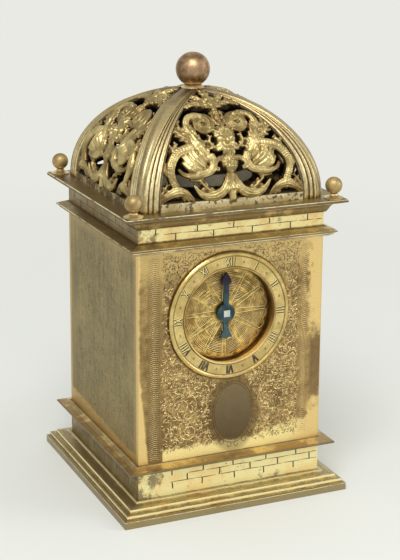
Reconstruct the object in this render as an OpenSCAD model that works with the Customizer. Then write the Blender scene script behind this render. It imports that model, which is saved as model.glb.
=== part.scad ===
// Square gilt-brass table clock with a pierced dome, one hand and a posted movement of two trains.
// Origin: middle of the foot's underside. The dial faces -Y, +Z is up.

/* [Case] */
// Width of the square body over its plates
body_w = 70; // [69:0.5:72]
// Width of the moulded foot
foot_w = 85.6; // [84:0.2:90]
// Height of the foot mouldings
foot_h = 6.3; // [6:0.1:8]
// Height at which the body plates start
body_z = 19; // [18.5:0.1:20]
// Height at which the body plates end
body_top = 94; // [93:0.5:96]
// Height of the top of the crowning moulding, where the dome stands
deck_z = 108; // [107.5:0.1:110]
// Thickness of the case plates
plate_t = 1.6; // [1.2:0.1:1.8]

/* [Dial] */
// Sideways place of the dial's centre, as laid out by eye on the real plate
dial_x = -1.2; // [-2:0.1:2]
// Height of the dial's centre
dial_z = 69.3; // [68:0.1:71]
// Outer radius of the chapter ring
ring_r = 22.7; // [21:0.1:24]
// Inner radius of the chapter ring
ring_in = 16.8; // [16:0.1:17.5]
// Length of the hand from its centre to its tip
hand_len = 14.8; // [12:0.1:15.5]

/* [Dome] */
// Straight skirt at the dome's foot
skirt = 1; // [0.6:0.1:1.4]
// Width of the rib moulding on each face at the dome's foot
rib_w = 8.3; // [7:0.1:9]
// Thickness of the ribs
rib_t = 2.2; // [1.8:0.1:2.6]
// Thickness of the pierced panels
grille_t = 1.4; // [1:0.1:1.6]
// Radius of the ball on the crown
crown_ball_r = 6.1; // [5:0.1:7]
// Radius of the four corner balls
corner_ball_r = 3; // [2.5:0.1:3.4]

/* [Trains] */
// Tooth module of the great wheels
great_m = 0.5; // [0.5:0.01:0.5]
// Tooth module of the second wheels
second_m = 0.45; // [0.45:0.01:0.45]
// Tooth module of the third wheels and the count wheel
third_m = 0.4; // [0.4:0.01:0.4]
// Play between an arbor and its hole
play = 0.05; // [0.02:0.01:0.08]

/* [Hidden] */
$fn = 48;
half = body_w / 2;
inner = half - plate_t;
foot_out = (foot_w - body_w) / 2;
plinth_top = body_z - 3.5;
frieze_z = body_top + 4;
frieze_top = deck_z - 5.3;
dome_r = half;
spring_z = deck_z + skirt;
crown_z = spring_z + dome_r;
post = 3.5;
// Width of a soldered mitre joint
joint = 0.02;
// Distance from the centre at which the sides of two ribs meet
rib_meet = 4.9;
// How fast the ribs draw apart from there, for each millimetre outwards
rib_part = (half - rib_w) / (half - rib_meet);
reach = 100;

gilt = [0.80, 0.62, 0.30];
dull_gilt = [0.60, 0.52, 0.32];
brass = [0.84, 0.68, 0.38];
steel = [0.42, 0.44, 0.48];
blued = [0.12, 0.22, 0.36];
copper = [0.58, 0.36, 0.22];
bronze = [0.55, 0.56, 0.52];
gut = [0.78, 0.70, 0.52];

// Geometry helpers

function polar(r, a) = [r * cos(a), r * sin(a)];
function beyond(p, d, a) = p + polar(d, a);
function arc(c, r, from, to, n = 8) =
    [for (i = [0:n]) c + polar(r, from + (to - from) * i / n)];
// The point at distance ra from a and rb from b, on the right of the way from a to b
function meet(a, b, ra, rb) =
    let (d = norm(b - a), u = (b - a) / d, along = (ra * ra - rb * rb + d * d) / (2 * d))
    a + along * u + sqrt(ra * ra - along * along) * [u[1], -u[0]];
function heading(a, b) = atan2(b[1] - a[1], b[0] - a[0]);
// The turn that puts a wheel of n_b teeth in mesh with one of n_a teeth
function mesh_turn(n_a, turn_a, way, n_b) =
    way + 180 - (turn_a - way) * n_a / n_b - 180 / n_b;
function gap(n_a, n_b, m) = (n_a + n_b) * m / 2;

// One moulding on all four sides, in four lengths mitred at the corners: profile points
// are [distance out from the body's face, height]
module mitred(profile) {
    for (side = [0:3])
        rotate([0, 0, 90 * side])
            intersection() {
                rotate([90, 0, 90])
                    linear_extrude(height = 2 * reach, center = true)
                        polygon([for (p = profile) [-half - p[0], p[1]]]);
                linear_extrude(height = 4 * reach, center = true)
                    polygon([[0, -joint], [-reach, -reach - joint], [reach, -reach - joint]]);
            }
}

module at_corners(d) {
    for (sx = [-1, 1])
        for (sy = [-1, 1])
            translate([sx * d, sy * d, 0])
                children();
}

module block(low, high) {
    translate(low)
        cube(high - low);
}

// Puts a drawing on an arbor at p = [x, z]: it grows from y towards the dial
module on_arbor(p, y) {
    translate([p[0], y, p[1]])
        rotate([90, 0, 0])
            children();
}

module rod(p, front, back, r) {
    on_arbor(p, back)
        cylinder(h = back - front, r = r);
}

module hole(p, front, back, r) {
    rod(p, front - 1, back + 1, r + play);
}

// Case

module base_moulding() {
    color(gilt)
        mitred(concat(
            [[-4, 0], [foot_out, 0], [foot_out, 2.6], [foot_out - 0.9, 2.8]],
            arc([foot_out - 1.8, 3.5], 0.8, -50, 110),
            arc([foot_out - 3.5, 4.8], 0.65, -40, 110),
            [[foot_out - 5.4, 5.6], [1.2, 5.75], [0.6, foot_h], [-4, foot_h]]));
}

pillar_x = 28.6;
pillar_y = 23.5;
base_z = 0.8;
base_t = 1.5;

module at_pillars(z) {
    for (sx = [-1, 1])
        for (sy = [-1, 1])
            translate([sx * pillar_x, sy * pillar_y, z])
                children();
}

module base_plate() {
    side = half - 4;
    color(dull_gilt)
        difference() {
            block([-side, -side, base_z], [side, side, base_z + base_t]);
            at_pillars(0)
                cylinder(h = 10, r = 0.95, center = true);
        }
}

module base_screws() {
    color(steel)
        at_pillars(base_z) {
            difference() {
                translate([0, 0, -0.6])
                    cylinder(h = 0.6, r = 1.8);
                block([-2, -0.2, -0.7], [2, 0.2, -0.3]);
            }
            translate([0, 0, -0.01])
                cylinder(h = 4, r = 0.9);
        }
}

module plinth_band() {
    color(gilt)
        mitred([[-plate_t, foot_h], [0, foot_h], [0, plinth_top], [-plate_t, plinth_top]]);
}

module lower_flange() {
    z = plinth_top;
    color(gilt)
        mitred([[-plate_t, z], [0, z], [0.9, z + 0.2], [3.7, z + 1.5], [4.3, z + 1.7],
            [4.5, z + 1.95], [4.5, z + 2.25], [4.2, z + 2.45], [2.2, z + 2.7],
            [1, z + 3.1], [0.3, body_z], [-plate_t, body_z]]);
}

module front_plate() {
    color(gilt)
        difference() {
            block([-half, -half, body_z], [half, -inner, body_top]);
            rod([dial_x, dial_z], -half - 1, -inner + 1, ring_in + 0.4);
        }
}

module left_plate() {
    color(dull_gilt)
        block([-half, -inner, body_z], [-inner, half, body_top]);
}

hinge_p = [32, half + 1];
hinge_r = 1.2;
knuckle_h = 3;
hinge_z = [body_z + 14, body_top - 14];

module knuckle(z) {
    translate([hinge_p[0], hinge_p[1], z])
        cylinder(h = knuckle_h - 0.2, r = hinge_r);
}

module hinge_bore() {
    translate([hinge_p[0], hinge_p[1], 0])
        cylinder(h = reach * 2, r = 0.5 + play);
}

module right_plate() {
    color(dull_gilt)
        difference() {
            union() {
                block([inner, -inner, body_z], [half, half, body_top]);
                for (z = hinge_z) {
                    knuckle(z);
                    block([hinge_p[0], half, z], [half, half + 1.2, z + knuckle_h - 0.2]);
                }
            }
            hinge_bore();
        }
}

door_gap = 0.25;

module back_door() {
    side = inner - door_gap;
    color(dull_gilt)
        difference() {
            union() {
                block([-side, inner, body_z + door_gap], [side, half, body_top - door_gap]);
                for (z = hinge_z)
                    for (step = [-1, 1]) {
                        knuckle(z + step * knuckle_h);
                        block([hinge_p[0] - 4, half - 0.1, z + step * knuckle_h],
                            [hinge_p[0], half + 0.9, z + step * knuckle_h + knuckle_h - 0.2]);
                    }
            }
            hinge_bore();
            for (z = hinge_z)
                translate([hinge_p[0], hinge_p[1], z - 0.1])
                    cylinder(h = knuckle_h, r = hinge_r + 0.15);
            on_arbor(knob_p, half + 1)
                cylinder(h = 4, r = 0.8);
        }
}

knob_p = [-27.5, 56];

module door_knob() {
    color(gilt) {
        on_arbor(knob_p, half + 3.6)
            rotate_extrude()
                polygon(concat([[0, 0]], arc([0, 1.9], 1.9, -75, 40),
                    [[0.8, 3.2], [1.3, 3.6], [0, 3.6]]));
        rod(knob_p, inner - 0.4, half + 0.01, 0.8);
    }
}

module hinge_pins() {
    color(steel)
        for (z = hinge_z)
            translate([hinge_p[0], hinge_p[1], z - knuckle_h - 0.6]) {
                cylinder(h = 3 * knuckle_h + 1, r = 0.5);
                translate([0, 0, -0.5])
                    cylinder(h = 0.5, r = 0.9);
            }
}

module corner_posts() {
    d = inner - post / 2;
    back_set = 0.6;
    color(brass)
        for (sx = [-1, 1])
            for (y = [-d, d - back_set])
                translate([sx * d - post / 2, y - post / 2, foot_h])
                    cube([post, post, deck_z - 1.5 - foot_h]);
}

module lower_cornice() {
    z = body_top;
    color(gilt)
        mitred(concat([[-plate_t, z], [0.5, z]], arc([1.2, z + 0.75], 0.55, -90, 20, 4),
            arc([2.3, z + 1.35], 0.5, -90, 20, 4),
            [[3.3, z + 1.7], [3.8, z + 2.1], [3.8, z + 2.5], [3.3, z + 2.7], [0, frieze_z],
            [-plate_t, frieze_z]]));
}

module frieze_band() {
    color(gilt)
        mitred([[-plate_t, frieze_z], [0, frieze_z], [0, frieze_top], [-plate_t, frieze_top]]);
}

module top_moulding() {
    z = frieze_top;
    edge = 6.3;
    color(gilt)
        mitred(concat([[-plate_t, z], [0, z], [0.6, z + 0.2]],
            arc([4.4, z + 0.5], 3.2, 165, 95, 6),
            [[4.9, z + 3.7], [5.2, z + 4.1], [edge, z + 4.2], [edge, deck_z - 0.3],
            [edge - 0.3, deck_z], [-4, deck_z], [-4, deck_z - 1.5], [-plate_t, deck_z - 1.5]]));
}

// Dome

module tunnel(r) {
    translate([0, 0, deck_z])
        rotate([90, 0, 90])
            linear_extrude(height = 2 * dome_r + 2, center = true) {
                intersection() {
                    translate([0, skirt])
                        circle(r, $fn = 96);
                    translate([-r, skirt])
                        square([2 * r, r]);
                }
                translate([-r, 0])
                    square([2 * r, skirt]);
            }
}

module vault(r) {
    intersection() {
        tunnel(r);
        rotate([0, 0, 90])
            tunnel(r);
    }
}

module shell(out, thick) {
    difference() {
        vault(out);
        vault(out - thick);
    }
}

// The worn-flat back of a rib, as an arch across the corner of the dome
module rib_back() {
    wide = sqrt(2) * (dome_r - 1.5);
    high = dome_r - 0.25;
    translate([0, 0, deck_z])
        rotate([90, 0, 0])
            linear_extrude(height = 2 * reach, center = true)
                polygon(concat([[0, 0], [wide, 0]],
                    [for (a = [0:3:90]) [wide * cos(a), skirt + high * sin(a)]]));
}

// Four arched lengths, mitred where they meet under the crown boss
module dome_ribs() {
    start = rib_meet / sqrt(2);
    spread = reach * (1 - rib_part) / (1 + rib_part);
    color(gilt)
        for (corner = [0:3])
            difference() {
                intersection() {
                    shell(dome_r, rib_t);
                    rotate([0, 0, 45 + 90 * corner])
                        intersection() {
                            linear_extrude(height = 2 * reach)
                                polygon([[joint, 0], [start + joint, -start],
                                    [start + reach, -start - spread],
                                    [start + reach, start + spread], [start + joint, start]]);
                            rib_back();
                        }
                }
                translate([0, 0, seat_z])
                    cylinder(h = 4, r = boss_r + 0.05);
                cylinder(h = 2 * reach, r = stem_r + play);
            }
}

rail_h = 2.6;

// The quarter of the plan between two ribs, on the side of the dial
module bay() {
    polygon([[0, -rib_meet], [-reach * rib_part, -rib_meet - reach],
        [reach * rib_part, -rib_meet - reach]]);
}

module dome_rails() {
    rail_t = 2;
    color(gilt)
        for (turn = [0:3])
            rotate([0, 0, 90 * turn])
                translate([0, 0, deck_z])
                    linear_extrude(height = rail_h)
                        intersection() {
                            bay();
                            translate([-half, -half])
                                square([2 * half, rail_t]);
                        }
}

// Scrollwork is drawn on the dome's face as [sideways, way up along the curve]
// and set out flat as seen from the front
scroll_foot = 0.5;
function flat_up(s) = dome_r * sin(s / dome_r * 180 / PI) + scroll_foot;
function flat(p) = [p[0], flat_up(p[1])];
function side_of(pts, i) =
    let (a = pts[max(i - 1, 0)], b = pts[min(i + 1, len(pts) - 1)], d = (b - a) / norm(b - a))
    [-d[1], d[0]];
// A line with its corners cut, so that it bends gently
function eased(pts) = concat([pts[0]],
    [for (i = [1:len(pts) - 2]) each [pts[i - 1] * 0.25 + pts[i] * 0.75,
        pts[i] * 0.75 + pts[i + 1] * 0.25]],
    [pts[len(pts) - 1]]);

// A leaf or stem along a line, with its widths at the start, the middle and the end
module stroke(line, widths) {
    pts = eased(line);
    n = len(pts) - 1;
    function wide(i) = lookup(i / n, [[0, widths[0]], [0.5, widths[1]], [1, widths[2]]]) / 2;
    polygon([for (p = concat(
        [for (i = [0:n]) pts[i] + side_of(pts, i) * wide(i)],
        [for (i = [n:-1:0]) pts[i] - side_of(pts, i) * wide(i)])) flat(p)]);
}

module leaf_spot(c, r_side, r_up) {
    polygon([for (i = [0:15]) flat(c + [r_side * cos(i * 22.5), r_up * sin(i * 22.5)])]);
}

module half_scrolls() {
    // Leaf that rolls out of the stem's foot
    stroke([[0.8, 9.5], [1.8, 6.5], [4, 3.3], [7.8, 1.7], [11.5, 3], [13.8, 6]], [1.6, 2.8, 0.9]);
    // Leaf that stands in the corner
    stroke([[27, 0.6], [24, 3.5], [20.5, 5], [17, 4], [14, 1.4]], [1.8, 3, 1.8]);
    // Stem that climbs beside the rib and rolls in round the large leaf
    stroke([[20, 5], [22, 9.5], [21.8, 13.3], [18.7, 17.5], [12.4, 19.4]], [2.2, 2.4, 2.6]);
    leaf_spot([12.5, 15], 4.2, 4.2);
    stroke([[18, 10.5], [15, 9.7], [10.9, 9.9], [7.4, 11], [6.2, 13.8], [7.2, 16.4]], [1.1, 2.2, 3.2]);
    stroke([[7.2, 14.6], [9.4, 18.5], [11.4, 22], [12.6, 25.6]], [3.4, 5, 2.4]);
    stroke([[12, 21.4], [15, 23], [17.8, 26]], [2, 2.2, 1]);
    // Roll at the top
    stroke([[12.3, 24], [13, 27], [11.5, 30.2], [8.3, 31.4], [5.6, 30.6]], [2.4, 2, 1.6]);
    leaf_spot([6.3, 27.8], 4.5, 4.5);
    // Curl beside the stem
    stroke([[0.8, 14.7], [4.2, 14.5], [6, 11.9], [4.2, 11]], [1.8, 1.5, 1]);
    // Palmette
    stroke([[0, 34.8], [3.4, 36.6], [6.6, 37.2], [10.4, 36]], [2.4, 2.8, 1.4]);
    stroke([[0, 35], [2.6, 38.6], [4.4, 40.8], [5.6, 42.6]], [2.4, 2.6, 1.4]);
}

module scrollwork() {
    half_scrolls();
    mirror([1, 0])
        half_scrolls();
    stroke([[0, 0], [0, 5], [0, 10], [0, 17]], [3.4, 2.4, 2]);
    leaf_spot([0, 4], 2, 2.6);
    leaf_spot([0, 20.8], 5.2, 5.4);
    stroke([[0, 25], [0, 29], [0, 35]], [1.8, 1.6, 2]);
    stroke([[0, 34.5], [0, 40], [0, 45.5]], [3, 2.6, 1.8]);
}

// A face of the dome seen from the front, drawn in by a border at its sides and foot
module window(border, foot) {
    intersection() {
        translate([border, 0])
            scale([rib_part, 1])
                circle(dome_r, $fn = 96);
        translate([-border, 0])
            scale([rib_part, 1])
                circle(dome_r, $fn = 96);
        translate([-reach, rail_h - skirt + foot])
            square([2 * reach, reach]);
    }
}

module grille() {
    rim = 1.1;
    swell = 0.01;
    out = dome_r - 0.7;
    intersection() {
        shell(out, grille_t);
        linear_extrude(height = 2 * reach)
            bay();
        translate([0, 0, spring_z])
            rotate([90, 0, 0])
                linear_extrude(height = reach)
                    offset(delta = swell)
                        intersection() {
                            translate([-reach, rail_h - skirt + 2 * swell])
                                square([2 * reach, reach]);
                            union() {
                                scrollwork();
                                difference() {
                                    window(0, 0);
                                    window(rib_part * rib_meet + rim, 0.7);
                                }
                            }
                        }
    }
}

module grille_front() {
    color(gilt)
        grille();
}

module grille_right() {
    color(gilt)
        rotate([0, 0, 90])
            grille();
}

module grille_back() {
    color(gilt)
        rotate([0, 0, 180])
            grille();
}

module grille_left() {
    color(gilt)
        rotate([0, 0, 270])
            grille();
}

boss_r = 4.2;
stem_r = 1.15;
seat_z = crown_z - 0.6;
ball_z = crown_z + crown_ball_r + 0.1;

module crown_boss() {
    color(gilt)
        difference() {
            translate([0, 0, seat_z])
                rotate_extrude()
                    polygon([[0, 0], [boss_r, 0], [boss_r, 0.35], [3.1, 1.3], [0, 1.3]]);
            translate([0, 0, ball_z])
                sphere(crown_ball_r + 0.01);
            cylinder(h = 2 * reach, r = stem_r + play);
        }
}

// The ball with its riveted stem and the nut under the ribs
module crown_ball() {
    color(copper) {
        translate([0, 0, ball_z])
            sphere(crown_ball_r);
        translate([0, 0, crown_z - rib_t - 1.2])
            cylinder(h = 6, r = stem_r);
        translate([0, 0, crown_z - rib_t - 1.2])
            cylinder(h = 1, r = 2.4);
    }
}

ball_place = 37.4;
ball_up = deck_z + 4.5;

module corner_balls() {
    color(copper)
        at_corners(ball_place) {
            translate([0, 0, ball_up])
                sphere(corner_ball_r);
            translate([0, 0, deck_z + 0.01])
                cylinder(h = 3, r = 0.8);
        }
}

module ball_collars() {
    color(gilt)
        at_corners(ball_place)
            translate([0, 0, deck_z])
                rotate_extrude()
                    polygon([[0.85, 0], [3.4, 0], [3.4, 0.3], [2.3, 0.7], [1.5, 1.1],
                        [1.4, 1.6], [0.85, 1.6]]);
}

// Dial

well_floor = -half + 3.6;
well_t = 1.2;
hand_y = well_floor - 0.8;
dial_p = [dial_x, dial_z];

module chapter_ring() {
    color(gilt)
        on_arbor(dial_p, -half)
            rotate_extrude()
                polygon([[ring_in, 0], [ring_r, 0], [ring_r, 0.9], [ring_r - 0.4, 1.35],
                    [ring_r - 1, 1.35], [ring_r - 1.5, 1], [ring_in + 0.9, 1],
                    [ring_in + 0.6, 1.4], [ring_in, 1.3]]);
}

module dial_disc() {
    rim = ring_in + 1.8;
    depth = -inner - well_floor;
    color(gilt)
        difference() {
            on_arbor(dial_p, well_floor + well_t)
                rotate_extrude()
                    polygon([[0, 0], [rim, 0], [rim, well_t - depth], [ring_in + 0.4, well_t - depth],
                        [ring_in + 0.4, well_t], [0, well_t]]);
            hole(dial_p, well_floor, well_floor + well_t, 1.6);
        }
}

hub_r = 3.3;
arbor_r = 1.5;
tail_len = 9.4;
blade_t = 0.7;

module hour_hand() {
    head = hand_len - 3.9;
    edge = [[0, hand_len], [0.9, head + 2.6], [1.7, head + 1.2], [1.9, head], [0.95, head - 0.6],
        [1, 0], [0.85, -5.3], [1.2, -6.6], [2.45, -8.9], [1.2, -8.7], [0, 0.1 - tail_len]];
    color(blued)
        on_arbor(dial_p, hand_y)
            difference() {
                union() {
                    cylinder(h = blade_t, r = hub_r);
                    linear_extrude(height = blade_t)
                        polygon(concat(edge, [for (i = [len(edge) - 2:-1:1]) [-edge[i][0], edge[i][1]]]));
                }
                translate([-1.15, -1.15, -1])
                    cube([2.3, 2.3, 3]);
            }
}

module hour_arbor() {
    color(steel) {
        rod(dial_p, hand_y + 0.1, front_bar_y + bar_t, arbor_r);
        on_arbor(dial_p, hand_y + 0.2)
            translate([-1.15, -1.15, 0])
                cube([2.3, 2.3, 1.5]);
    }
}

// Movement: places of the arbors as [x, z], and depths along y

bar_t = 1.5;
front_bar_y = -27.5;
middle_bar_y = -1;
back_bar_y = 25;
frame_z = 8;
frame_top_z = 86;
frame_half_x = 31;
frame_half_y = 27.8;
bar_half = 24.4;
axle_r = 1.3;

great_n = 60;
second_n = 54;
third_n = 48;
leaves = 6;
report_n = 12;
middle_n = 40;
hour_n = 48;
crown_n = 15;
count_n = 60;
count_leaves = 10;
lean = atan2(4, 3);

fusee_p = [13, 38];
barrel_p = [-14.5, 38];
second_p = beyond(fusee_p, gap(great_n, leaves, great_m), 180 - lean);
third_p = beyond(second_p, gap(second_n, leaves, second_m), 180 - lean);
crown_p = beyond(third_p, gap(third_n, leaves, third_m), 180 - lean);
middle_p = meet(fusee_p, dial_p, gap(report_n, middle_n, great_m), gap(middle_n, hour_n, great_m));

spring_p = [-14, 30];
pin_p = beyond(spring_p, gap(great_n, leaves, great_m), lean);
hoop_p = beyond(pin_p, gap(second_n, leaves, second_m), lean);
fly_p = beyond(hoop_p, gap(third_n, leaves, third_m), 180 - lean);
count_p = beyond(pin_p, gap(count_n, count_leaves, third_m), 90);
lever_p = [14, 66];
hammer_p = [19, 60];

// Teeth as straight-sided cogs with a little play, and their wheel with four arms
function cog_points(n, m, turn, tall, wide, narrow) =
    [for (i = [0:n - 1])
        let (a = turn + 360 / n * i, low = n * m / 2 - 1.15 * m, high = n * m / 2 + tall * m)
        each [polar(low, a - wide * 180 / n), polar(high, a - narrow * 180 / n),
            polar(high, a + narrow * 180 / n), polar(low, a + wide * 180 / n)]];

module wheel(n, m, turn, thick, bore) {
    out = n * m / 2 - 2.2;
    hub = bore + 1.3;
    arm = 1.1;
    difference() {
        linear_extrude(height = thick)
            polygon(cog_points(n, m, turn, 0.9, 0.52, 0.2));
        for (q = [0:3])
            rotate([0, 0, 90 * q])
                linear_extrude(height = 3 * thick, center = true)
                    polygon(concat(arc([0, 0], out, asin(arm / out), 90 - asin(arm / out), 8),
                        arc([0, 0], hub, 90 - asin(arm / hub), asin(arm / hub), 4)));
        cylinder(h = 4 * thick, r = bore, center = true);
    }
}

module pinion(n, m, turn, thick) {
    linear_extrude(height = thick)
        polygon(cog_points(n, m, turn, 0.6, 0.36, 0.2));
}

// Great wheels stand at turn 0; each wheel after them is turned into mesh
second_turn = mesh_turn(great_n, 0, heading(fusee_p, second_p), leaves);
third_turn = mesh_turn(second_n, 0, heading(second_p, third_p), leaves);
crown_turn = mesh_turn(third_n, 0, heading(third_p, crown_p), leaves);
middle_turn = mesh_turn(report_n, 0, heading(fusee_p, middle_p), middle_n);
hour_turn = mesh_turn(middle_n, middle_turn, heading(middle_p, dial_p), hour_n);
pin_turn = mesh_turn(great_n, 0, heading(spring_p, pin_p), leaves);
hoop_turn = mesh_turn(second_n, 0, heading(pin_p, hoop_p), leaves);
fly_turn = mesh_turn(third_n, 0, heading(hoop_p, fly_p), leaves);
count_turn = mesh_turn(count_leaves, 0, heading(pin_p, count_p), count_n);

great_y = -6.1;
second_y = -3;
third_y = -19.5;
motion_y = -28.3;
barrel_back = -9.5;
barrel_front = -24;
barrel_r = 12;
pivot_r = 0.6;
strike_great_y = 5.9;
strike_back = 19.8;
pin_wheel_y = 22.6;
hoop_y = 9.2;
count_y = 28.6;

module frame_bottom() {
    color(brass)
        difference() {
            block([-frame_half_x, -frame_half_y, frame_z],
                [frame_half_x, frame_half_y, frame_z + bar_t]);
            at_pillars(0)
                cylinder(h = 20, r = 1.3);
        }
}

module frame_top() {
    color(brass)
        difference() {
            block([-frame_half_x, -frame_half_y, frame_top_z],
                [frame_half_x, frame_half_y, frame_top_z + bar_t]);
            at_pillars(frame_top_z)
                cylinder(h = 4, r = 1.3, center = true);
            translate([crown_p[0], verge_y, frame_top_z])
                cylinder(h = 8, r = 1.1, center = true);
            block([9, hammer_y - 1.6, frame_top_z - 1], [24, hammer_y + 1.6, frame_top_z + 4]);
        }
}

module frame_pillars() {
    low = base_z + base_t;
    color(brass)
        at_pillars(low)
            difference() {
                rotate_extrude()
                    polygon([[0, 0], [2, 0], [2, frame_z - low], [1.3, frame_z - low],
                        [1.3, frame_z + bar_t - low], [1.7, frame_z + bar_t - low],
                        [1.7, 40], [2.1, 41], [2.1, 42], [1.7, 43], [1.7, frame_top_z - low],
                        [1.3, frame_top_z - low], [1.3, frame_top_z + 2.6 - low],
                        [0, frame_top_z + 2.6 - low]]);
                translate([0, 0, -1])
                    cylinder(h = 4.5, r = 0.9);
            }
}

// An upright bar plate between the two frame plates
module bar(y, wide) {
    block([-wide, y, frame_z + bar_t], [wide, y + bar_t, frame_top_z]);
}

module front_bar() {
    y = front_bar_y;
    color(brass)
        difference() {
            bar(y, bar_half);
            hole(fusee_p, y, y + bar_t, axle_r);
            hole(barrel_p, y, y + bar_t, axle_r);
            hole(third_p, y, y + bar_t, pivot_r);
            hole(second_p, y, y + bar_t, pivot_r);
            hole(crown_p, y, y + bar_t, pivot_r);
            hole(dial_p, y, y + bar_t, arbor_r);
            hole(middle_p, y, y + bar_t, pivot_r);
        }
}

module middle_bar() {
    y = middle_bar_y;
    color(brass)
        difference() {
            bar(y, frame_half_x - 1);
            hole(fusee_p, y, y + bar_t, axle_r);
            hole(barrel_p, y, y + bar_t, axle_r);
            hole(second_p, y, y + bar_t, pivot_r);
            hole(third_p, y, y + bar_t, pivot_r);
            hole(spring_p, y, y + bar_t, axle_r);
            hole(pin_p, y, y + bar_t, pivot_r);
            hole(hoop_p, y, y + bar_t, pivot_r);
            hole(fly_p, y, y + bar_t, pivot_r);
            hole(hammer_p, y, y + bar_t, pivot_r);
            hole(lever_p, y, y + bar_t, pivot_r);
        }
}

module back_bar() {
    y = back_bar_y;
    color(brass)
        difference() {
            bar(y, bar_half);
            hole(fusee_p, y, y + bar_t, axle_r);
            hole(spring_p, y, y + bar_t, axle_r);
            hole(pin_p, y, y + bar_t, pivot_r);
            hole(hoop_p, y, y + bar_t, pivot_r);
            hole(fly_p, y, y + bar_t, pivot_r);
            hole(hammer_p, y, y + bar_t, pivot_r);
            hole(lever_p, y, y + bar_t, pivot_r);
            hole(count_p, y, y + bar_t, pivot_r);
        }
}

// A drum with two closed ends, hollow for its spring
module drum(p, front, back, r, bore) {
    wall = 0.8;
    on_arbor(p, back)
        difference() {
            cylinder(h = back - front, r = r);
            translate([0, 0, wall])
                cylinder(h = back - front - 2 * wall, r = r - wall);
            cylinder(h = 3 * (back - front), r = bore + play, center = true);
        }
}

module going_barrel() {
    color(brass)
        drum(barrel_p, barrel_front, barrel_back, barrel_r, axle_r);
}

square_d = 1.7;

module winding_square(p) {
    on_arbor(p, back_bar_y + 7.6)
        translate([-square_d / 2, -square_d / 2, 0])
            cube([square_d, square_d, 3]);
}

module ratchet(p, y) {
    on_arbor(p, y)
        linear_extrude(height = 1)
            polygon([for (i = [0:23]) polar(i % 2 == 0 ? 4 : 3.1, i * 15 + (i % 2) * 11)]);
}

// The fixed arbors that the two springs are hooked to
module barrel_arbors() {
    color(steel) {
        rod(barrel_p, front_bar_y - 2.2, middle_bar_y + bar_t, axle_r);
        ratchet(barrel_p, front_bar_y - 0.1);
        rod(spring_p, middle_bar_y, back_bar_y + 5, axle_r);
        ratchet(spring_p, back_bar_y + bar_t + 1.1);
        winding_square(spring_p);
    }
}

module coiled_spring(p, front, back) {
    turns = 7;
    steps = 16;
    strip = 0.3;
    out = barrel_r - 1.1;
    in = 3.2;
    coil = [for (i = [0:turns * steps])
        polar(out - (out - in) * i / (turns * steps), i * 360 / steps)];
    on_arbor(p, back - 1.4)
        linear_extrude(height = back - front - 2.8)
            polygon(concat(coil,
                [for (i = [len(coil) - 1:-1:0]) coil[i] * (1 - strip / norm(coil[i]))]));
}

module mainsprings() {
    color(steel) {
        coiled_spring(barrel_p, barrel_front, barrel_back);
        coiled_spring(spring_p, strike_great_y + 0.4, strike_back);
    }
}

fusee_back = -7.6;
fusee_front = -23.4;
fusee_big = 11;
fusee_small = 4.6;
fusee_rim = 1.4;
fusee_long = fusee_back - fusee_front - fusee_rim;
grooves = 8;

// The cone's radius at the fraction t of its length, and at depth y
function cone_r(t) = fusee_small + (fusee_big - fusee_small) * pow(1 - t, 1.6);
function cone_at(y) = cone_r((fusee_back - fusee_rim - y) / fusee_long);

module fusee() {
    step = fusee_long / grooves;
    ridges = [for (i = [0:grooves - 1])
        each [[cone_r(i / grooves), fusee_rim + i * step],
            [cone_r((i + 0.5) / grooves) - 0.6, fusee_rim + (i + 0.5) * step]]];
    top = fusee_rim + fusee_long;
    color(brass)
        on_arbor(fusee_p, fusee_back)
            difference() {
                rotate_extrude()
                    polygon(concat([[0, 0], [fusee_big + 0.8, 0], [fusee_big + 0.8, 1.3]],
                        ridges, [[fusee_small, top], [0, top]]));
                cylinder(h = reach, r = axle_r, center = true);
            }
}

module fusee_arbor() {
    color(steel) {
        rod(fusee_p, motion_y - 1.2, back_bar_y + 5, axle_r);
        winding_square(fusee_p);
        on_arbor(fusee_p, motion_y)
            pinion(report_n, great_m, 0, 1.4);
    }
}

module great_wheel() {
    color(brass)
        on_arbor(fusee_p, great_y)
            wheel(great_n, great_m, 0, 1.4, axle_r);
}

// The straight run of the line, lying along the tops of the drum and the cone
module gut_line() {
    y = -16.5;
    line_r = 0.35;
    clear = 0.3 + line_r;
    drum_r = barrel_r + clear;
    turn_r = cone_at(y) + clear;
    tilt = asin((drum_r - turn_r) / norm(fusee_p - barrel_p));
    from = barrel_p + polar(drum_r, 90 - tilt);
    to = fusee_p + polar(turn_r, 90 - tilt);
    way = to - from;
    color(gut)
        translate([from[0], y, from[1]])
            rotate([0, 90 - atan2(way[1], way[0]), 0])
                cylinder(h = norm(way), r = line_r);
}

module second_wheel() {
    color(brass)
        on_arbor(second_p, second_y)
            wheel(second_n, second_m, 0, 1, 0.9);
    color(steel) {
        rod(second_p, front_bar_y + bar_t + 0.2, middle_bar_y - 0.3, 0.9);
        rod(second_p, front_bar_y, middle_bar_y + bar_t, pivot_r);
        on_arbor(second_p, great_y + 0.5)
            pinion(leaves, great_m, second_turn, 2.4);
    }
}

module third_wheel() {
    color(brass)
        on_arbor(third_p, third_y)
            wheel(third_n, third_m, 0, 1, 0.8);
    color(steel) {
        rod(third_p, front_bar_y + bar_t + 0.2, middle_bar_y - 0.3, 0.8);
        rod(third_p, front_bar_y, middle_bar_y + bar_t, pivot_r);
        on_arbor(third_p, second_y + 0.5)
            pinion(leaves, second_m, third_turn, 2);
    }
}

crown_r = 6.3;
crown_tips = -12.6;
crown_back = crown_tips - 4;
verge_y = crown_tips + 2;
verge_r = 0.6;
verge_low = 63;
cup = crown_r - 0.8;

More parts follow.
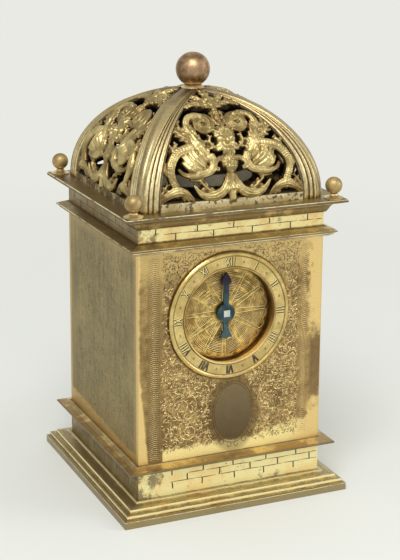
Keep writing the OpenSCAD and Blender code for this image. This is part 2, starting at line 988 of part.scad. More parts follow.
module crown_wheel() {
    tooth = 1.8;
    color(brass)
        difference() {
            rod(crown_p, crown_back, crown_tips, crown_r);
            rod(crown_p, crown_back + 0.9, crown_tips + 1, cup);
            rod(crown_p, crown_back - 1, crown_tips, 0.8);
            for (i = [0:crown_n - 1])
                on_arbor(crown_p, crown_tips)
                    rotate([0, 0, 90 + (i + 0.25) * 360 / crown_n])
                        translate([crown_r, 0, 0])
                            rotate([0, 90, 0])
                                linear_extrude(height = 3, center = true)
                                    polygon([[0.5, -1.1], [0.5, 0.9], [-tooth, 0.5],
                                        [-tooth, -0.5]]);
        }
    color(steel) {
        rod(crown_p, front_bar_y + bar_t + 0.2, crown_tips - 1.6, 0.8);
        rod(crown_p, front_bar_y, crown_tips - 0.4, pivot_r);
        on_arbor(crown_p, third_y + 0.5)
            pinion(leaves, third_m, crown_turn, 2);
    }
}

// Bracket under the top plate that holds the crown wheel's inner pivot and the verge's foot
module potence() {
    x = crown_p[0];
    z = crown_p[1];
    color(brass)
        difference() {
            union() {
                block([x - 2.2, verge_y + 1.3, verge_low - 2], [x + 4, verge_y + 2.9, frame_top_z]);
                block([x + 2.2, crown_tips - 1.2, z - 0.9], [x + 4, verge_y + 1.4, z + 0.9]);
                block([x - 1.1, crown_tips - 1.2, z - 1.1], [x + 4, crown_tips + 0.4, z + 1.1]);
                block([x - 1.2, verge_y - 1.2, verge_low - 2],
                    [x + 1.2, verge_y + 1.4, verge_low - 0.4]);
            }
            hole(crown_p, crown_tips - 2, crown_tips - 0.4, pivot_r);
            translate([x, verge_y, verge_low - 1.4])
                cylinder(h = 4, r = 0.4 + play);
        }
}

pallet = 1.85;
balance_z = 90.4;
balance_r = 12.5;

module verge() {
    x = crown_p[0];
    color(steel) {
        translate([x, verge_y, verge_low - 0.3])
            cylinder(h = balance_z + 4 - verge_low, r = verge_r);
        translate([x, verge_y, verge_low - 1.3])
            cylinder(h = 1.2, r = 0.4);
        translate([x, verge_y, balance_z + 3.5])
            cylinder(h = 1.6, r = 0.4);
        for (end = [-1, 1])
            translate([x, verge_y, crown_p[1] + end * (crown_r - 0.6)])
                rotate([0, 0, -90 + end * 47.5])
                    translate([0, -0.2, -0.8])
                        cube([pallet, 0.4, 1.6]);
    }
}

module balance_wheel() {
    color(brass)
        translate([crown_p[0], verge_y, balance_z])
            difference() {
                union() {
                    difference() {
                        cylinder(h = 1.4, r = balance_r);
                        cylinder(h = 8, r = balance_r - 1.5, center = true);
                    }
                    for (turn = [0, 60, 120])
                        rotate([0, 0, turn])
                            translate([-balance_r + 1, -0.7, 0])
                                cube([2 * balance_r - 2, 1.4, 1.4]);
                    cylinder(h = 2, r = 2);
                }
                cylinder(h = 8, r = verge_r, center = true);
            }
}

cock_z = balance_z + 3.9;

module balance_cock() {
    x = crown_p[0];
    foot_y = verge_y + balance_r + 1.5;
    color(gilt)
        difference() {
            union() {
                block([x - 3, foot_y, frame_top_z + bar_t], [x + 3, foot_y + 4, cock_z + 1.4]);
                block([x - 1.6, verge_y, cock_z], [x + 1.6, foot_y + 1, cock_z + 1.4]);
                translate([x, verge_y, cock_z])
                    cylinder(h = 1.4, r = 3);
            }
            translate([x, verge_y, cock_z - 1])
                cylinder(h = 4, r = 0.4 + play);
        }
}

module hour_wheel() {
    color(brass)
        on_arbor(dial_p, motion_y)
            wheel(hour_n, great_m, hour_turn, 1, arbor_r + play);
}

module intermediate_wheel() {
    color(brass)
        on_arbor(middle_p, motion_y)
            wheel(middle_n, great_m, middle_turn, 1, pivot_r);
    color(steel)
        rod(middle_p, motion_y - 1.4, front_bar_y + bar_t, pivot_r);
}

// Striking train

module strike_barrel() {
    color(brass) {
        drum(spring_p, strike_great_y + 0.4, strike_back, barrel_r, axle_r);
        on_arbor(spring_p, strike_great_y + 0.41)
            wheel(great_n, great_m, 0, 1.41, axle_r + play);
    }
}

pins = 13;
pin_ring = 9.4;

module pin_wheel() {
    color(brass)
        on_arbor(pin_p, pin_wheel_y)
            wheel(second_n, second_m, 0, 1, 0.9);
    color(steel) {
        rod(pin_p, middle_bar_y + bar_t + 0.2, back_bar_y - 0.2, 0.9);
        rod(pin_p, middle_bar_y, count_y + 0.4, pivot_r);
        on_arbor(pin_p, strike_great_y + 0.9)
            pinion(leaves, great_m, pin_turn, 2.4);
        on_arbor(pin_p, count_y + 0.2)
            pinion(count_leaves, third_m, 0, 1.4);
        for (i = [0:pins - 1])
            rod(beyond(pin_p, pin_ring + 1, i * 360 / pins), pin_wheel_y - 2.4, pin_wheel_y, 0.35);
    }
}

module hoop_wheel() {
    hoop_r = 7;
    color(brass) {
        on_arbor(hoop_p, hoop_y)
            wheel(third_n, third_m, 0, 1, 0.8);
        on_arbor(hoop_p, hoop_y + 2.2)
            rotate([0, 0, 20])
                rotate_extrude(angle = 320)
                    translate([hoop_r, 0])
                        square([0.8, 2.2]);
    }
    color(steel) {
        rod(hoop_p, middle_bar_y + bar_t + 0.2, back_bar_y - 0.2, 0.8);
        rod(hoop_p, middle_bar_y, back_bar_y + bar_t, pivot_r);
        on_arbor(hoop_p, pin_wheel_y + 0.5)
            pinion(leaves, second_m, hoop_turn, 2);
    }
}

module fly() {
    color(steel) {
        rod(fly_p, middle_bar_y + bar_t + 0.2, back_bar_y - 0.2, 0.8);
        rod(fly_p, middle_bar_y, back_bar_y + bar_t, pivot_r);
        on_arbor(fly_p, hoop_y + 0.5)
            pinion(leaves, third_m, fly_turn, 2);
    }
    color(brass)
        on_arbor(fly_p, 21)
            difference() {
                translate([-7.5, -0.25, 0])
                    cube([15, 0.5, 8]);
                cylinder(h = 30, r = 0.8, center = true);
            }
}

// The count wheel's notches stand 1 + 2 + ... + 12 blows apart
module count_wheel() {
    blows = 78;
    function upto(n) = n * (n + 1) / 2;
    color(brass)
        on_arbor(count_p, count_y)
            difference() {
                union() {
                    wheel(count_n, third_m, count_turn, 1, pivot_r);
                    translate([0, 0, -1.2])
                        difference() {
                            cylinder(h = 1.21, r = 10);
                            cylinder(h = 6, r = 8, center = true);
                        }
                }
                for (n = [0:11])
                    rotate([0, 0, 90 + upto(n) * 360 / blows])
                        translate([9, -0.6, -2])
                            cube([3, 1.2, 1.9]);
            }
    color(steel)
        rod(count_p, back_bar_y, count_y + 1.8, pivot_r);
}

hammer_y = 3.6;

module hammer() {
    head = [15.4, deck_z + 5.5];
    way = head - hammer_p;
    color(steel) {
        rod(hammer_p, middle_bar_y + bar_t + 0.2, back_bar_y - 0.2, 0.9);
        rod(hammer_p, middle_bar_y, back_bar_y + bar_t, pivot_r);
        translate([hammer_p[0], hammer_y, hammer_p[1]])
            rotate([0, 90 - atan2(way[1], way[0]), 0])
                cylinder(h = norm(way), r = 0.7);
        translate([head[0] - 2.2, hammer_y, head[1]])
            rotate([0, 90, 0])
                cylinder(h = 4.4, r = 1.9);
        translate([hammer_p[0], pin_wheel_y - 2.2, hammer_p[1]])
            rotate([0, 90 - heading(hammer_p, beyond(pin_p, pin_ring + 2.2, 45)), 0])
                cylinder(h = norm(hammer_p - pin_p) - pin_ring - 3, r = 0.6);
    }
}

module count_lever() {
    tip = beyond(count_p, 13.4, 35);
    way = tip - lever_p;
    color(steel) {
        rod(lever_p, middle_bar_y + bar_t + 0.2, back_bar_y - 0.2, 0.9);
        rod(lever_p, middle_bar_y, count_y + 0.6, pivot_r);
        translate([lever_p[0], count_y - 0.5, lever_p[1]])
            rotate([0, 90 - atan2(way[1], way[0]), 0])
                cylinder(h = norm(way), r = 0.6);
    }
}

// Bell

bell_rim_z = deck_z + 4.1;
bell_r = 21.5;
bell_h = 24;

module bell() {
    wall = 1.3;
    lip = 1.4;
    crown = 3.4;
    function curve(a, inset) = [crown + (bell_r - lip - crown - inset) * pow(cos(a), 0.8)
        + lip * pow(1 - sin(a), 4), (bell_h - inset) * pow(sin(a), 0.9)];
    outer = [for (a = [90:-7.5:0]) curve(a, 0)];
    cavity = [for (a = [0:7.5:90]) curve(a, wall)];
    color(bronze)
        translate([0, 0, bell_rim_z])
            difference() {
                rotate_extrude($fn = 96)
                    polygon(concat([[0, bell_h - wall], [0, bell_h]], outer, cavity));
                cylinder(h = 2 * reach, r = 1.25);
            }
}

module bell_stand() {
    top = bell_rim_z + bell_h;
    low = frame_top_z + bar_t;
    color(steel)
        translate([0, 0, low])
            rotate_extrude()
                polygon([[0, 0], [2.6, 0], [2.6, 1], [1.4, 1.6], [1.4, top - low - 2.6],
                    [2.8, top - low - 2.2], [2.8, top - low - 1.32], [1.2, top - low - 1.32],
                    [1.2, top - low + 0.02], [2.4, top - low + 0.02], [2.4, top - low + 1.2],
                    [0, top - low + 1.6]]);
}

base_moulding();
base_plate();
base_screws();
plinth_band();
lower_flange();
front_plate();
left_plate();
right_plate();
back_door();
door_knob();
hinge_pins();
corner_posts();
lower_cornice();
frieze_band();
top_moulding();
dome_rails();
dome_ribs();
grille_front();
grille_left();
grille_right();
grille_back();
crown_boss();
crown_ball();
corner_balls();
ball_collars();
chapter_ring();
dial_disc();
hour_hand();
hour_arbor();
hour_wheel();
intermediate_wheel();
frame_bottom();
frame_top();
frame_pillars();
front_bar();
middle_bar();
back_bar();
going_barrel();
barrel_arbors();
mainsprings();
fusee();
fusee_arbor();
great_wheel();
gut_line();
second_wheel();
third_wheel();
crown_wheel();
potence();
verge();
balance_wheel();
balance_cock();
strike_barrel();
pin_wheel();
hoop_wheel();
fly();
count_wheel();
hammer();
count_lever();
bell();
bell_stand();
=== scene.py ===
"""A square table clock in worn gilt brass, with a pierced dome over its bell and one blued hand."""

import math
import random

import bpy
from mathutils import Matrix, Vector, kdtree, noise


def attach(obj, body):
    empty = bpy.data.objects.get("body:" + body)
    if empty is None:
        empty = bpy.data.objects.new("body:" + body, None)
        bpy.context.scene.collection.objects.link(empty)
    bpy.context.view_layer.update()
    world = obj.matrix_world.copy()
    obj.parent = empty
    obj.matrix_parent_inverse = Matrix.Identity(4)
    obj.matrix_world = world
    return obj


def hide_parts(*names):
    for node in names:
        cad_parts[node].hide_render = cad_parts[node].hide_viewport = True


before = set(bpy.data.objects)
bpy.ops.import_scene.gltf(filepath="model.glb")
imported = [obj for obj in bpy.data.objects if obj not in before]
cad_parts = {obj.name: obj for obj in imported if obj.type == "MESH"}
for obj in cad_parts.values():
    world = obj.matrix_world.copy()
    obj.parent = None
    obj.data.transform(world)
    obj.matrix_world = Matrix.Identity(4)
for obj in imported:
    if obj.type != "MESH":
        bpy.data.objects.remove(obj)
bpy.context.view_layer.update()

MM = 0.001


# The view: a long lens from the clock's left, a little above it, as in the photograph.
# The picture is cropped from a taller one, so the lens looks out above its middle.
def placed(name, data):
    """Adds an object to the scene."""
    made = bpy.data.objects.new(name, data)
    bpy.context.collection.objects.link(made)
    return made


def backed(place, back):
    """Where a camera or lamp stands, with its back turned to a direction."""
    return Matrix.Translation(place) @ back.to_track_quat("Z", "Y").to_matrix().to_4x4()


view_turn, view_rise, view_roll = (math.radians(angle) for angle in (-24.0, 13.06, 0.41))
view_away = 532.8 * MM
view_target = Vector((2.61, -1.16, 103.9)) * MM
lens = bpy.data.cameras.new("view")
lens.lens, lens.shift_y, lens.clip_start = 94.7, -0.15, 0.01
camera = placed("view", lens)
bpy.context.scene.camera = camera
from_target = Vector((
    math.sin(view_turn) * math.cos(view_rise),
    -math.cos(view_turn) * math.cos(view_rise),
    math.sin(view_rise),
))
camera.matrix_world = (backed(view_target + from_target * view_away, from_target)
                       @ Matrix.Rotation(view_roll, 4, "Z"))


# The table: a pale, plain sheet that runs on into the same pale light all round,
# under one broad soft lamp from the left and a weaker one from the right.
def paint(red, green, blue):
    """A colour read off in the usual 0 to 255 steps, as the shaders want it."""
    return [((c / 255 + 0.055) / 1.055) ** 2.4 for c in (red, green, blue)] + [1.0]


class Shade:
    """One socket in a node tree. Sums and products of shades add the Math nodes for them."""

    def __init__(self, tree, socket=None):
        self.tree, self.socket = tree, socket

    def node(self, kind, settings, sockets, out=0):
        """Adds a node, sets it up, gives its sockets values or links, and returns one output."""
        made = self.tree.nodes.new("ShaderNode" + kind)
        for name, value in settings.items():
            setattr(made, name, value)
        for name, value in sockets.items():
            if isinstance(value, Shade):
                self.tree.links.new(value.socket, made.inputs[name])
            else:
                made.inputs[name].default_value = value
        return Shade(self.tree, made.outputs[out]) if made.outputs else None

    def maths(self, operation, *values):
        """Adds a Math node."""
        return self.node("Math", {"operation": operation}, dict(enumerate(values)))

    def __add__(self, other):
        return self.maths("ADD", self, other)

    def __radd__(self, other):
        return self.maths("ADD", other, self)

    def __sub__(self, other):
        return self.maths("SUBTRACT", self, other)

    def __rsub__(self, other):
        return self.maths("SUBTRACT", other, self)

    def __mul__(self, other):
        return self.maths("MULTIPLY", self, other)

    def __rmul__(self, other):
        return self.maths("MULTIPLY", other, self)

    def __truediv__(self, other):
        return self.maths("DIVIDE", self, other)

    def __rtruediv__(self, other):
        return self.maths("DIVIDE", other, self)

    def __pow__(self, other):
        return self.maths("POWER", self, other)

    def __abs__(self):
        return self.maths("ABSOLUTE", self)

    def above(self, start, end):
        """0 up to start, 1 from end, and an even slope between; end may be the lower one."""
        return self.node("MapRange", {}, {"Value": self, "From Min": start, "From Max": end})

    def mix(self, none, full):
        """The colour none where this is 0, and full where it is 1."""
        return self.node("Mix", {"data_type": "RGBA"}, {0: self, 6: none, 7: full}, 2)


def new_finish(name):
    """An empty material, and a shade in its tree."""
    finish = bpy.data.materials.new(name)
    finish.use_nodes = True
    finish.node_tree.nodes.clear()
    return finish, Shade(finish.node_tree)


def straight_sight(shade):
    """1 for what the camera sees, straight or by a mirror or through glass, and 0 for light."""
    rays = (shade.node("LightPath", {}, {}, f"Is {kind} Ray")
            for kind in ("Camera", "Glossy", "Transmission"))
    return sum(rays, 0.0).above(0, 1)


backdrop = paint(233, 234, 227)
table_side, fade_start, fade_end = 1.6, 0.14, 0.5
sheet = bpy.data.meshes.new("table")
sheet.from_pydata([(x * table_side, y * table_side, 0)
                   for x, y in ((-1, -1), (1, -1), (1, 1), (-1, 1))], [], [range(4)])
placed("table", sheet)
finish, shade = new_finish("pale_table")
place = shade.node("NewGeometry", {}, {}, "Position")
away = shade.node("VectorMath", {"operation": "LENGTH"}, {0: place}, "Value")
shade.node("OutputMaterial", {}, {"Surface": shade.node("MixShader", {}, {
    0: straight_sight(shade) * away.above(fade_start, fade_end),
    1: shade.node("BsdfDiffuse", {}, {"Color": paint(221, 222, 217)}),
    2: shade.node("Emission", {}, {"Color": backdrop, "Strength": 1.0})})})
sheet.materials.append(finish)

world = bpy.data.worlds.new("pale_room")
bpy.context.scene.world = world
world.use_nodes = True
world.node_tree.nodes.clear()
shade = Shade(world.node_tree)
shade.node("OutputWorld", {}, {"Surface": shade.node("Background", {}, {
    "Color": straight_sight(shade).mix(paint(214, 216, 214), backdrop), "Strength": 1.0})})

lit_height = 80 * MM
for name, place, size, power in (("broad_lamp", (-0.35, -0.55, 0.95), 0.6, 7.6),
                                 ("right_lamp", (0.9, -0.5, 0.45), 0.5, 2.7)):
    light = bpy.data.lights.new(name, "AREA")
    light.energy, light.size = power, size
    placed(name, light).matrix_world = backed(place, Vector(place) - Vector((0, 0, lit_height)))

bpy.context.scene.view_settings.view_transform = "Standard"


# The foot: four lengths of drawn and filed brass moulding, mitred, soldered and fire-gilt,
# with a plain plate inside that the movement's pillars are screwed down to.
def cloudy(shade, size, detail=4.0, seed=0.0, rough=0.55, stretch=(1, 1, 1)):
    """Cloud-like variation about size millimetres across, fixed to the piece."""
    where = shade.node("TexCoord", {}, {}, "Object")
    where = shade.node("VectorMath", {"operation": "MULTIPLY_ADD"},
                       {0: where, 1: stretch, 2: (seed, seed * 0.7, 0)})
    return shade.node("TexNoise", {}, {
        "Vector": where, "Scale": 1 / (size * MM), "Detail": detail, "Roughness": rough})


def grained(shade, size, rough=0.7):
    """The fine grain of a metal surface."""
    return cloudy(shade, size, 4, 1.7, rough)


def axis(shade, letter):
    """Place on the clock along one axis, in millimetres."""
    where = shade.node("TexCoord", {}, {}, "Object")
    return shade.node("SeparateXYZ", {}, {0: where}, letter) / MM


def near_lines(coordinate, places, wide):
    """1 on each of some places along a coordinate, fading to 0 at a distance of wide."""
    return sum((abs(coordinate - place).above(wide, wide * 0.25) for place in places),
               0.0).above(0, 1)


def layered(colour, *layers):
    """Lays colours over one another, each given as how much of it shows and the colour."""
    for shown, over in layers:
        colour = shown.mix(colour, over)
    return colour


def coated(finish, colour, rough, metal, grain, depth):
    """Closes a finish; depth is what the height of its grain is worth in millimetres."""
    bump = colour.node("Bump", {}, {"Height": grain, "Distance": depth * MM, "Strength": 1.0})
    coat = colour.node("BsdfPrincipled", {}, {
        "Base Color": colour, "Roughness": rough, "Metallic": metal, "Normal": bump})
    colour.node("OutputMaterial", {}, {"Surface": coat})
    return finish


brown_dirt, black_dirt, hollow_dirt_and_shade = paint(92, 72, 44), paint(44, 36, 26), paint(70, 52, 32)
lip_brass, stain_brown, painted_left_shade = paint(126, 112, 86), paint(92, 74, 48), paint(118, 97, 54)
painted_highlight = paint(253, 238, 190)


def gilding(name, bright, dull, share=0.5, dirt=0.4, spots=0.4, rough=0.3, hollows=(),
            hollow_wide=0.3, lip=None, left_shade=0.0, metal=1.0, stain=0.0, brightened=()):
    """Old fire gilding: bright on a share of it, dull where it is worn, with dirt and spots.
    It may also keep lines of dirt and painted shade at some heights, take painted highlight
    lines at others, go dull from some distance out along its outer edge, take painted shade on
    its left side, and carry a few large dark stains, most of them at its left end."""
    finish, shade = new_finish(name)
    x, y, z = (axis(shade, letter) for letter in "XYZ")
    broad, patch = cloudy(shade, 18, 5), cloudy(shade, 5, 6, 3.1, 0.62)
    grain, pits = grained(shade, 0.55), cloudy(shade, 1.7, 3, 5.3)
    whole = (broad * 0.45 + patch * 0.55).above(0.6 - share * 0.2, 0.7 - share * 0.2)
    pitted = pits.above(0.76 - 0.1 * spots, 0.82 - 0.1 * spots)
    layers = [(grain.above(0.5, 0.72) * dirt, brown_dirt), (pitted * 0.85, black_dirt)]
    hollow = pitted
    # Dirt and painted shade along the hollows at the given heights.
    if hollows:
        hollow = near_lines(z + (patch - 0.5) * 0.5, hollows, hollow_wide)
        layers.append((hollow * (0.2 + grain * 0.9), hollow_dirt_and_shade))
    if lip:
        edge = shade.maths("MAXIMUM", abs(x), abs(y)) + (patch - 0.5) * 0.6
        layers.append((edge.above(lip, lip + 0.4) * 0.8, lip_brass))
    if stain:
        stained = (cloudy(shade, 5, 5, 12.3, 0.65) + (grain - 0.5) * 0.25
                   + x.above(-24, -31) * 0.19)
        layers.append((stained.above(0.6, 0.7) * stain, stain_brown))
    # Painted shade on the left side.
    if left_shade:
        layers.append(((x * -1 - abs(y)).above(-0.03, 0.03) * left_shade, painted_left_shade))
    # Painted highlight lines along the rounds at the given heights.
    if brightened:
        edge = near_lines(z + (patch - 0.5) * 0.15, brightened, 0.16)
        layers.append((edge * patch.above(0.36, 0.5), painted_highlight))
    return coated(finish, layered(whole.mix(dull, bright), *layers),
                  rough + (1 - whole) * 0.1 + grain * 0.1 + hollow * 0.15,
                  metal - pitted * 0.6, grain, 0.05)


def dress(finish, *nodes):
    """Gives solids of the clock their finish."""
    for node in nodes:
        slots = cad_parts[node].data.materials
        slots.clear()
        slots.append(finish)


# The foot: painted highlight lines, dirt and painted shade in hollows, painted shade at left.
dress(gilding("foot_gilding", paint(255, 236, 174), paint(244, 216, 150), share=1.0, dirt=0.25,
              spots=0.3, rough=0.15, hollows=(2.75, 4.2, 5.55, 6.2), lip=42.3, left_shade=0.5,
              metal=0.85, brightened=(2.45, 3.85, 5.2)), "base_moulding")
dress(gilding("floor_brass", paint(150, 128, 84), paint(110, 92, 60), share=0.4, dirt=0.35),
      "base_plate")


# The plinth: four soldered plates with masonry lines cut round them, below a thin flange
# that throws its shadow on them; lines of dirt and painted shade lie at the plinth's top and foot.
# The flange has gone brown from dust and dull along its outer edge, and both take painted shade
# on their left sides.
def skin(name, points, faces, finish, smooth=True):
    """A closed mesh, from points in millimetres."""
    mesh = bpy.data.meshes.new(name)
    mesh.from_pydata([Vector(point) * MM for point in points], [], faces)
    if smooth:
        mesh.shade_smooth()
    mesh.materials.append(finish)
    return mesh


def piece(name, mesh, body, *nodes, turns=0):
    """A gilt piece, turned round by quarters, that rides on a body and stands for solids."""
    made = placed(name, mesh)
    made.matrix_world = Matrix.Rotation(math.radians(90 * turns), 4, "Z")
    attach(made, body)
    if nodes:
        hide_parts(*nodes)


def tube_faces(rings, around):
    """Quads between rings of points laid one after another, with a cap at each end."""
    sides = [(r * around + i, r * around + (i + 1) % around,
              (r + 1) * around + (i + 1) % around, (r + 1) * around + i)
             for r in range(rings - 1) for i in range(around)]
    return sides + [tuple(range(around))[::-1], tuple(range((rings - 1) * around, rings * around))]


case_half, band_half = 35.0, 34.6
side_names = ("front", "right", "back", "left")


def on_side(turns, out=case_half):
    """Places a flat drawing on a face of the case, counted round from the front to the right."""
    turn = Matrix.Rotation(math.radians(90 * turns), 3, "Z")
    return lambda u, z, h: turn @ Vector((u, -out - h, z))


def cut_lines(name, lines, wide, high, place, finish, body="case", taper=0.4):
    """Engraved lines as low closed ridges, their feet just below the face that place gives;
    each line is [(u, z), ...], and its ends are narrower by taper."""
    sunk = 0.004
    points, faces = [], []
    for line in lines:
        last = len(line) - 1
        start = len(points)
        for i, (u, z) in enumerate(line):
            (u0, z0), (u1, z1) = line[max(i - 1, 0)], line[min(i + 1, last)]
            long = math.hypot(u1 - u0, z1 - z0) or 1.0
            half_wide = wide / 2 * (taper if i in (0, last) else 1.0)
            du, dz = -(z1 - z0) / long * half_wide, (u1 - u0) / long * half_wide
            points += [place(u + du, z + dz, -sunk), place(u - du, z - dz, -sunk),
                       place(u, z, high)]
        faces += [tuple(start + i for i in face) for face in tube_faces(last + 1, 3)]
    piece(name, skin(name, points, faces, finish, smooth=False), body)


def flat_metal(name, colour, rough, metal=1.0):
    """One colour of metal, clouded between a darker and a lighter tone of it."""
    finish, shade = new_finish(name)
    grain = cloudy(shade, 0.7, 3, 2.2)
    dark, light = ([min(1, c * tone) for c in colour[:3]] + [1.0] for tone in (0.75, 1.2))
    return coated(finish, grain.mix(dark, light), rough + grain * 0.2, metal, grain, 0.02)


# Dark lines: dirt in the cuts, and also painted shadow where they lie beside bright strokes.
dark_line = flat_metal("dirt_and_shadow_in_lines", paint(62, 45, 24), 0.6, 0.0)


def masonry(band, seed, levels, pitch, first, plain_to, upright_wide):
    """Cuts bed joints at the levels of a band, and upright joints staggered between them, a
    little unevenly round all four sides; the front is left plain as far as plain_to."""
    for side, name in enumerate(side_names):
        rng = random.Random(seed + side)
        beds, uprights = [], []
        for level in levels[1:-1]:
            u = -band_half
            while u < band_half:
                far = min(u + rng.uniform(5, 12), band_half)
                beds.append([(u, level + rng.uniform(-0.1, 0.1)),
                             ((u + far) / 2, level + rng.uniform(-0.12, 0.12)),
                             (far, level + rng.uniform(-0.1, 0.1))])
                u = far + rng.uniform(0, 0.8)
        for row, (low, high) in enumerate(zip(levels, levels[1:])):
            u = first + (pitch / 2 if row % 2 else 0)
            while u < band_half:
                here = u + rng.uniform(-0.7, 0.7)
                uprights.append([(here, low + 0.1), (here + rng.uniform(-0.2, 0.2), high - 0.1)])
                u += pitch
        start = -band_half if side else plain_to
        for kind, lines, wide, taper in (("beds", beds, 0.34, 0.5),
                                         ("uprights", uprights, upright_wide, 0.8)):
            cut_lines(f"{band}_{kind}_{name}", [line for line in lines if line[0][0] > start],
                      wide, 0.02, on_side(side), dark_line, taper=taper)


dress(gilding("plinth_gilding", paint(255, 242, 178), paint(255, 228, 158), share=0.9, dirt=0.14,
              spots=0.7, rough=0.28, hollows=(6.3, 15.5), hollow_wide=0.25, left_shade=0.85,
              metal=0.5, stain=0.75), "plinth_band")
dress(gilding("flange_gilding", paint(236, 210, 152), paint(176, 150, 104), share=0.6,
              hollows=(15.6, 17.2, 19.0), hollow_wide=0.25, lip=38.8, left_shade=0.3),
      "lower_flange")
masonry("plinth", 20, levels=(8.4, 10.9, 13.4, 15.4), pitch=11.9, first=-34.0, plain_to=-24,
        upright_wide=0.7)


# The front plate: engraved all over with scrolls, leaves and fine worm-like ground, then gilt.
# Its gilding is worn brown in the middle and whole near the bottom and the right edge, and it
# is pierced for the dial's well. The oval below the dial is left plain.
ring_x, ring_z, ring_outer = -1.2, 69.3, 22.7
shield_x, shield_z, shield_u, shield_s = 0.8, 33.5, 7.0, 10.2


def from_dial(shade):
    """Distance from the hand's arbor."""
    u, s = axis(shade, "X") - ring_x, axis(shade, "Z") - ring_z
    return (u * u + s * s) ** 0.5


def gold_left(x, z):
    """How whole the front plate's gilding is, from below 0 for worn to above 0 for whole."""
    foot_strip = (23.4 + max(0.0, x - 8) * 0.2 - z) / 2.5 if x > -26 else -9
    right_edge = (x - 29.6 - 1.2 * math.sin(z * 0.35)) / 1.2 if z > 62 or z < 33 else -9
    left_edge = -34.2 + max(0.0, (52 - z) / 33) * 3.2 - x
    top_part = (z - 83 + abs(x + 5) * 0.05) / 5
    return max(foot_strip, right_edge, left_edge, min(top_part, 0.5))


finish, shade = new_finish("front_plate_gilding")
x, z = axis(shade, "X"), axis(shade, "Z")
broad, patch = cloudy(shade, 14, 5), cloudy(shade, 3.2, 6, 3.1, 0.65)
grain = grained(shade, 0.5, 0.75)
stray = (patch - 0.5) * 5 + (grain - 0.5) * 3
foot_strip = (x - 8).above(0, 24) * 4.8 + 23.4 - z + stray
foot_strip = foot_strip.above(-0.6, 0.8) * x.above(-26.2, -25.6)
side_stray = z + stray * 5
right_edge = ((x - 30 + stray * 1.7).above(-0.8, 0.8)
              * (side_stray.above(58, 64) + side_stray.above(36, 31)).above(0, 1))
left_edge = (z.above(52, 19) * 3.2 - 34.4 - x + stray * 0.35).above(-0.3, 0.4)
top_part = (z - 84 + stray * 1.8).above(-4, 5) * 0.6
whole = (foot_strip + right_edge + left_edge + top_part).above(0, 1)
brightened = foot_strip * x.above(30, 22)
u = (x - shield_x + (patch - 0.5) * 1.2) / shield_u
s = (z - shield_z + (patch - 0.5) * 1.2) / shield_s
oval = u * u + s * s
oval_colour = (z + (patch - 0.5) * 8).above(24, 44).mix(paint(80, 76, 60), paint(148, 134, 106))
# The well's wall, painted lit at the bottom and shaded at the top.
well_light_and_shade = (z - ring_z).above(-2, -12).mix(paint(122, 92, 52), paint(246, 216, 150))
rim = from_dial(shade)
colour = layered(
    (broad * 0.5 + patch * 0.5).above(0.40, 0.6).mix(paint(140, 114, 74), paint(196, 166, 110)),
    (x.above(-26.0, -26.6) * x.above(-31.8, -31.2) * 0.5, paint(136, 116, 78)),
    (x.above(30.2, 31.4) * z.above(62, 58) * z.above(30, 36) * 0.6, paint(122, 96, 72)),
    (whole, paint(246, 214, 144)),
    (brightened * 0.9, paint(255, 234, 160)),
    (grain.above(0.44, 0.68) * (0.5 - whole * 0.3), paint(96, 74, 46)),
    ((oval + (grain - 0.5) * 0.12).above(1.06, 0.98) * 0.95, oval_colour),
    ((oval + (patch - 0.5) * 0.8).above(2.1, 1.2) * 0.45, paint(116, 92, 60)),
    # A painted shadow, with dirt, round the chapter ring.
    (rim.above(ring_outer + 0.8, ring_outer + 0.2) * 0.9, paint(72, 54, 34)),
    (rim.above(19, 18), well_light_and_shade),
    (abs(x).above(case_half - 0.4, case_half - 0.1) * 0.6, paint(212, 182, 116)),
    (oval.above(2.3, 1.9) * oval.above(0.98, 1.1) * 0.35, paint(88, 70, 44)))
dress(coated(finish, colour, 0.28 + (1 - whole) * 0.12 + grain * 0.1, 1.0 - brightened * 0.4,
             grain + patch * 0.4, 0.06), "front_plate")


def curled(centre, radius, turns, start, hand, steps, shrink=0.85):
    """Points on a spiral that rolls in from its rim; the angle at its start is in degrees."""
    line = []
    for i in range(int(steps) + 1):
        part = i / steps
        turn = math.radians(start) + hand * math.tau * turns * part
        reach = radius * (1 - shrink * part)
        line.append((centre[0] + reach * math.cos(turn), centre[1] + reach * math.sin(turn)))
    return line


def leaves_along(line, hand, long, every):
    """Short curved leaves that spring from one side of a stem."""
    sprigs = []
    for i in range(1, len(line) - 1, every):
        (u0, z0), (u1, z1) = line[i - 1], line[i + 1]
        way = math.atan2(z1 - z0, u1 - u0)
        for lean, part in ((hand * 0.9, 1.0), (hand * 1.5, 0.6)):
            u, z = line[i]
            leaf = [(u, z)]
            for step in range(3):
                turn = way + lean - hand * step * 0.35
                u, z = u + math.cos(turn) * long * part / 3, z + math.sin(turn) * long * part / 3
                leaf.append((u, z))
            sprigs.append(leaf)
    return sprigs


def scroll(centre, radius, start, hand, turns=1.6):
    """A rolled stem with leaves on both sides and a small eye."""
    stem = curled(centre, radius, turns, start, hand, int(16 * turns))
    return ([stem] + leaves_along(stem, -hand, radius * 0.34, 2)
            + leaves_along(stem, hand, radius * 0.2, 3)
            + [curled(centre, radius * 0.16, 1, k * 72, 1, 6) for k in range(2)])


def chevrons(middle, wide, low, high, pitch):
    """A border of bent strokes between two upright lines."""
    lines = [[(middle + side * wide / 2, low), (middle + side * wide / 2, high)]
             for side in (-1, 1)]
    z = low + 0.5
    while z < high - 1:
        lines.append([(middle - wide * 0.42, z), (middle, z + pitch * 0.75),
                      (middle + wide * 0.42, z)])
        z += pitch
    return lines


def nearest_of(places):
    """A search tree over flat places."""
    tree = kdtree.KDTree(len(places))
    for number, (u, z) in enumerate(places):
        tree.insert((u, z, 0), number)
    tree.balance()
    return tree


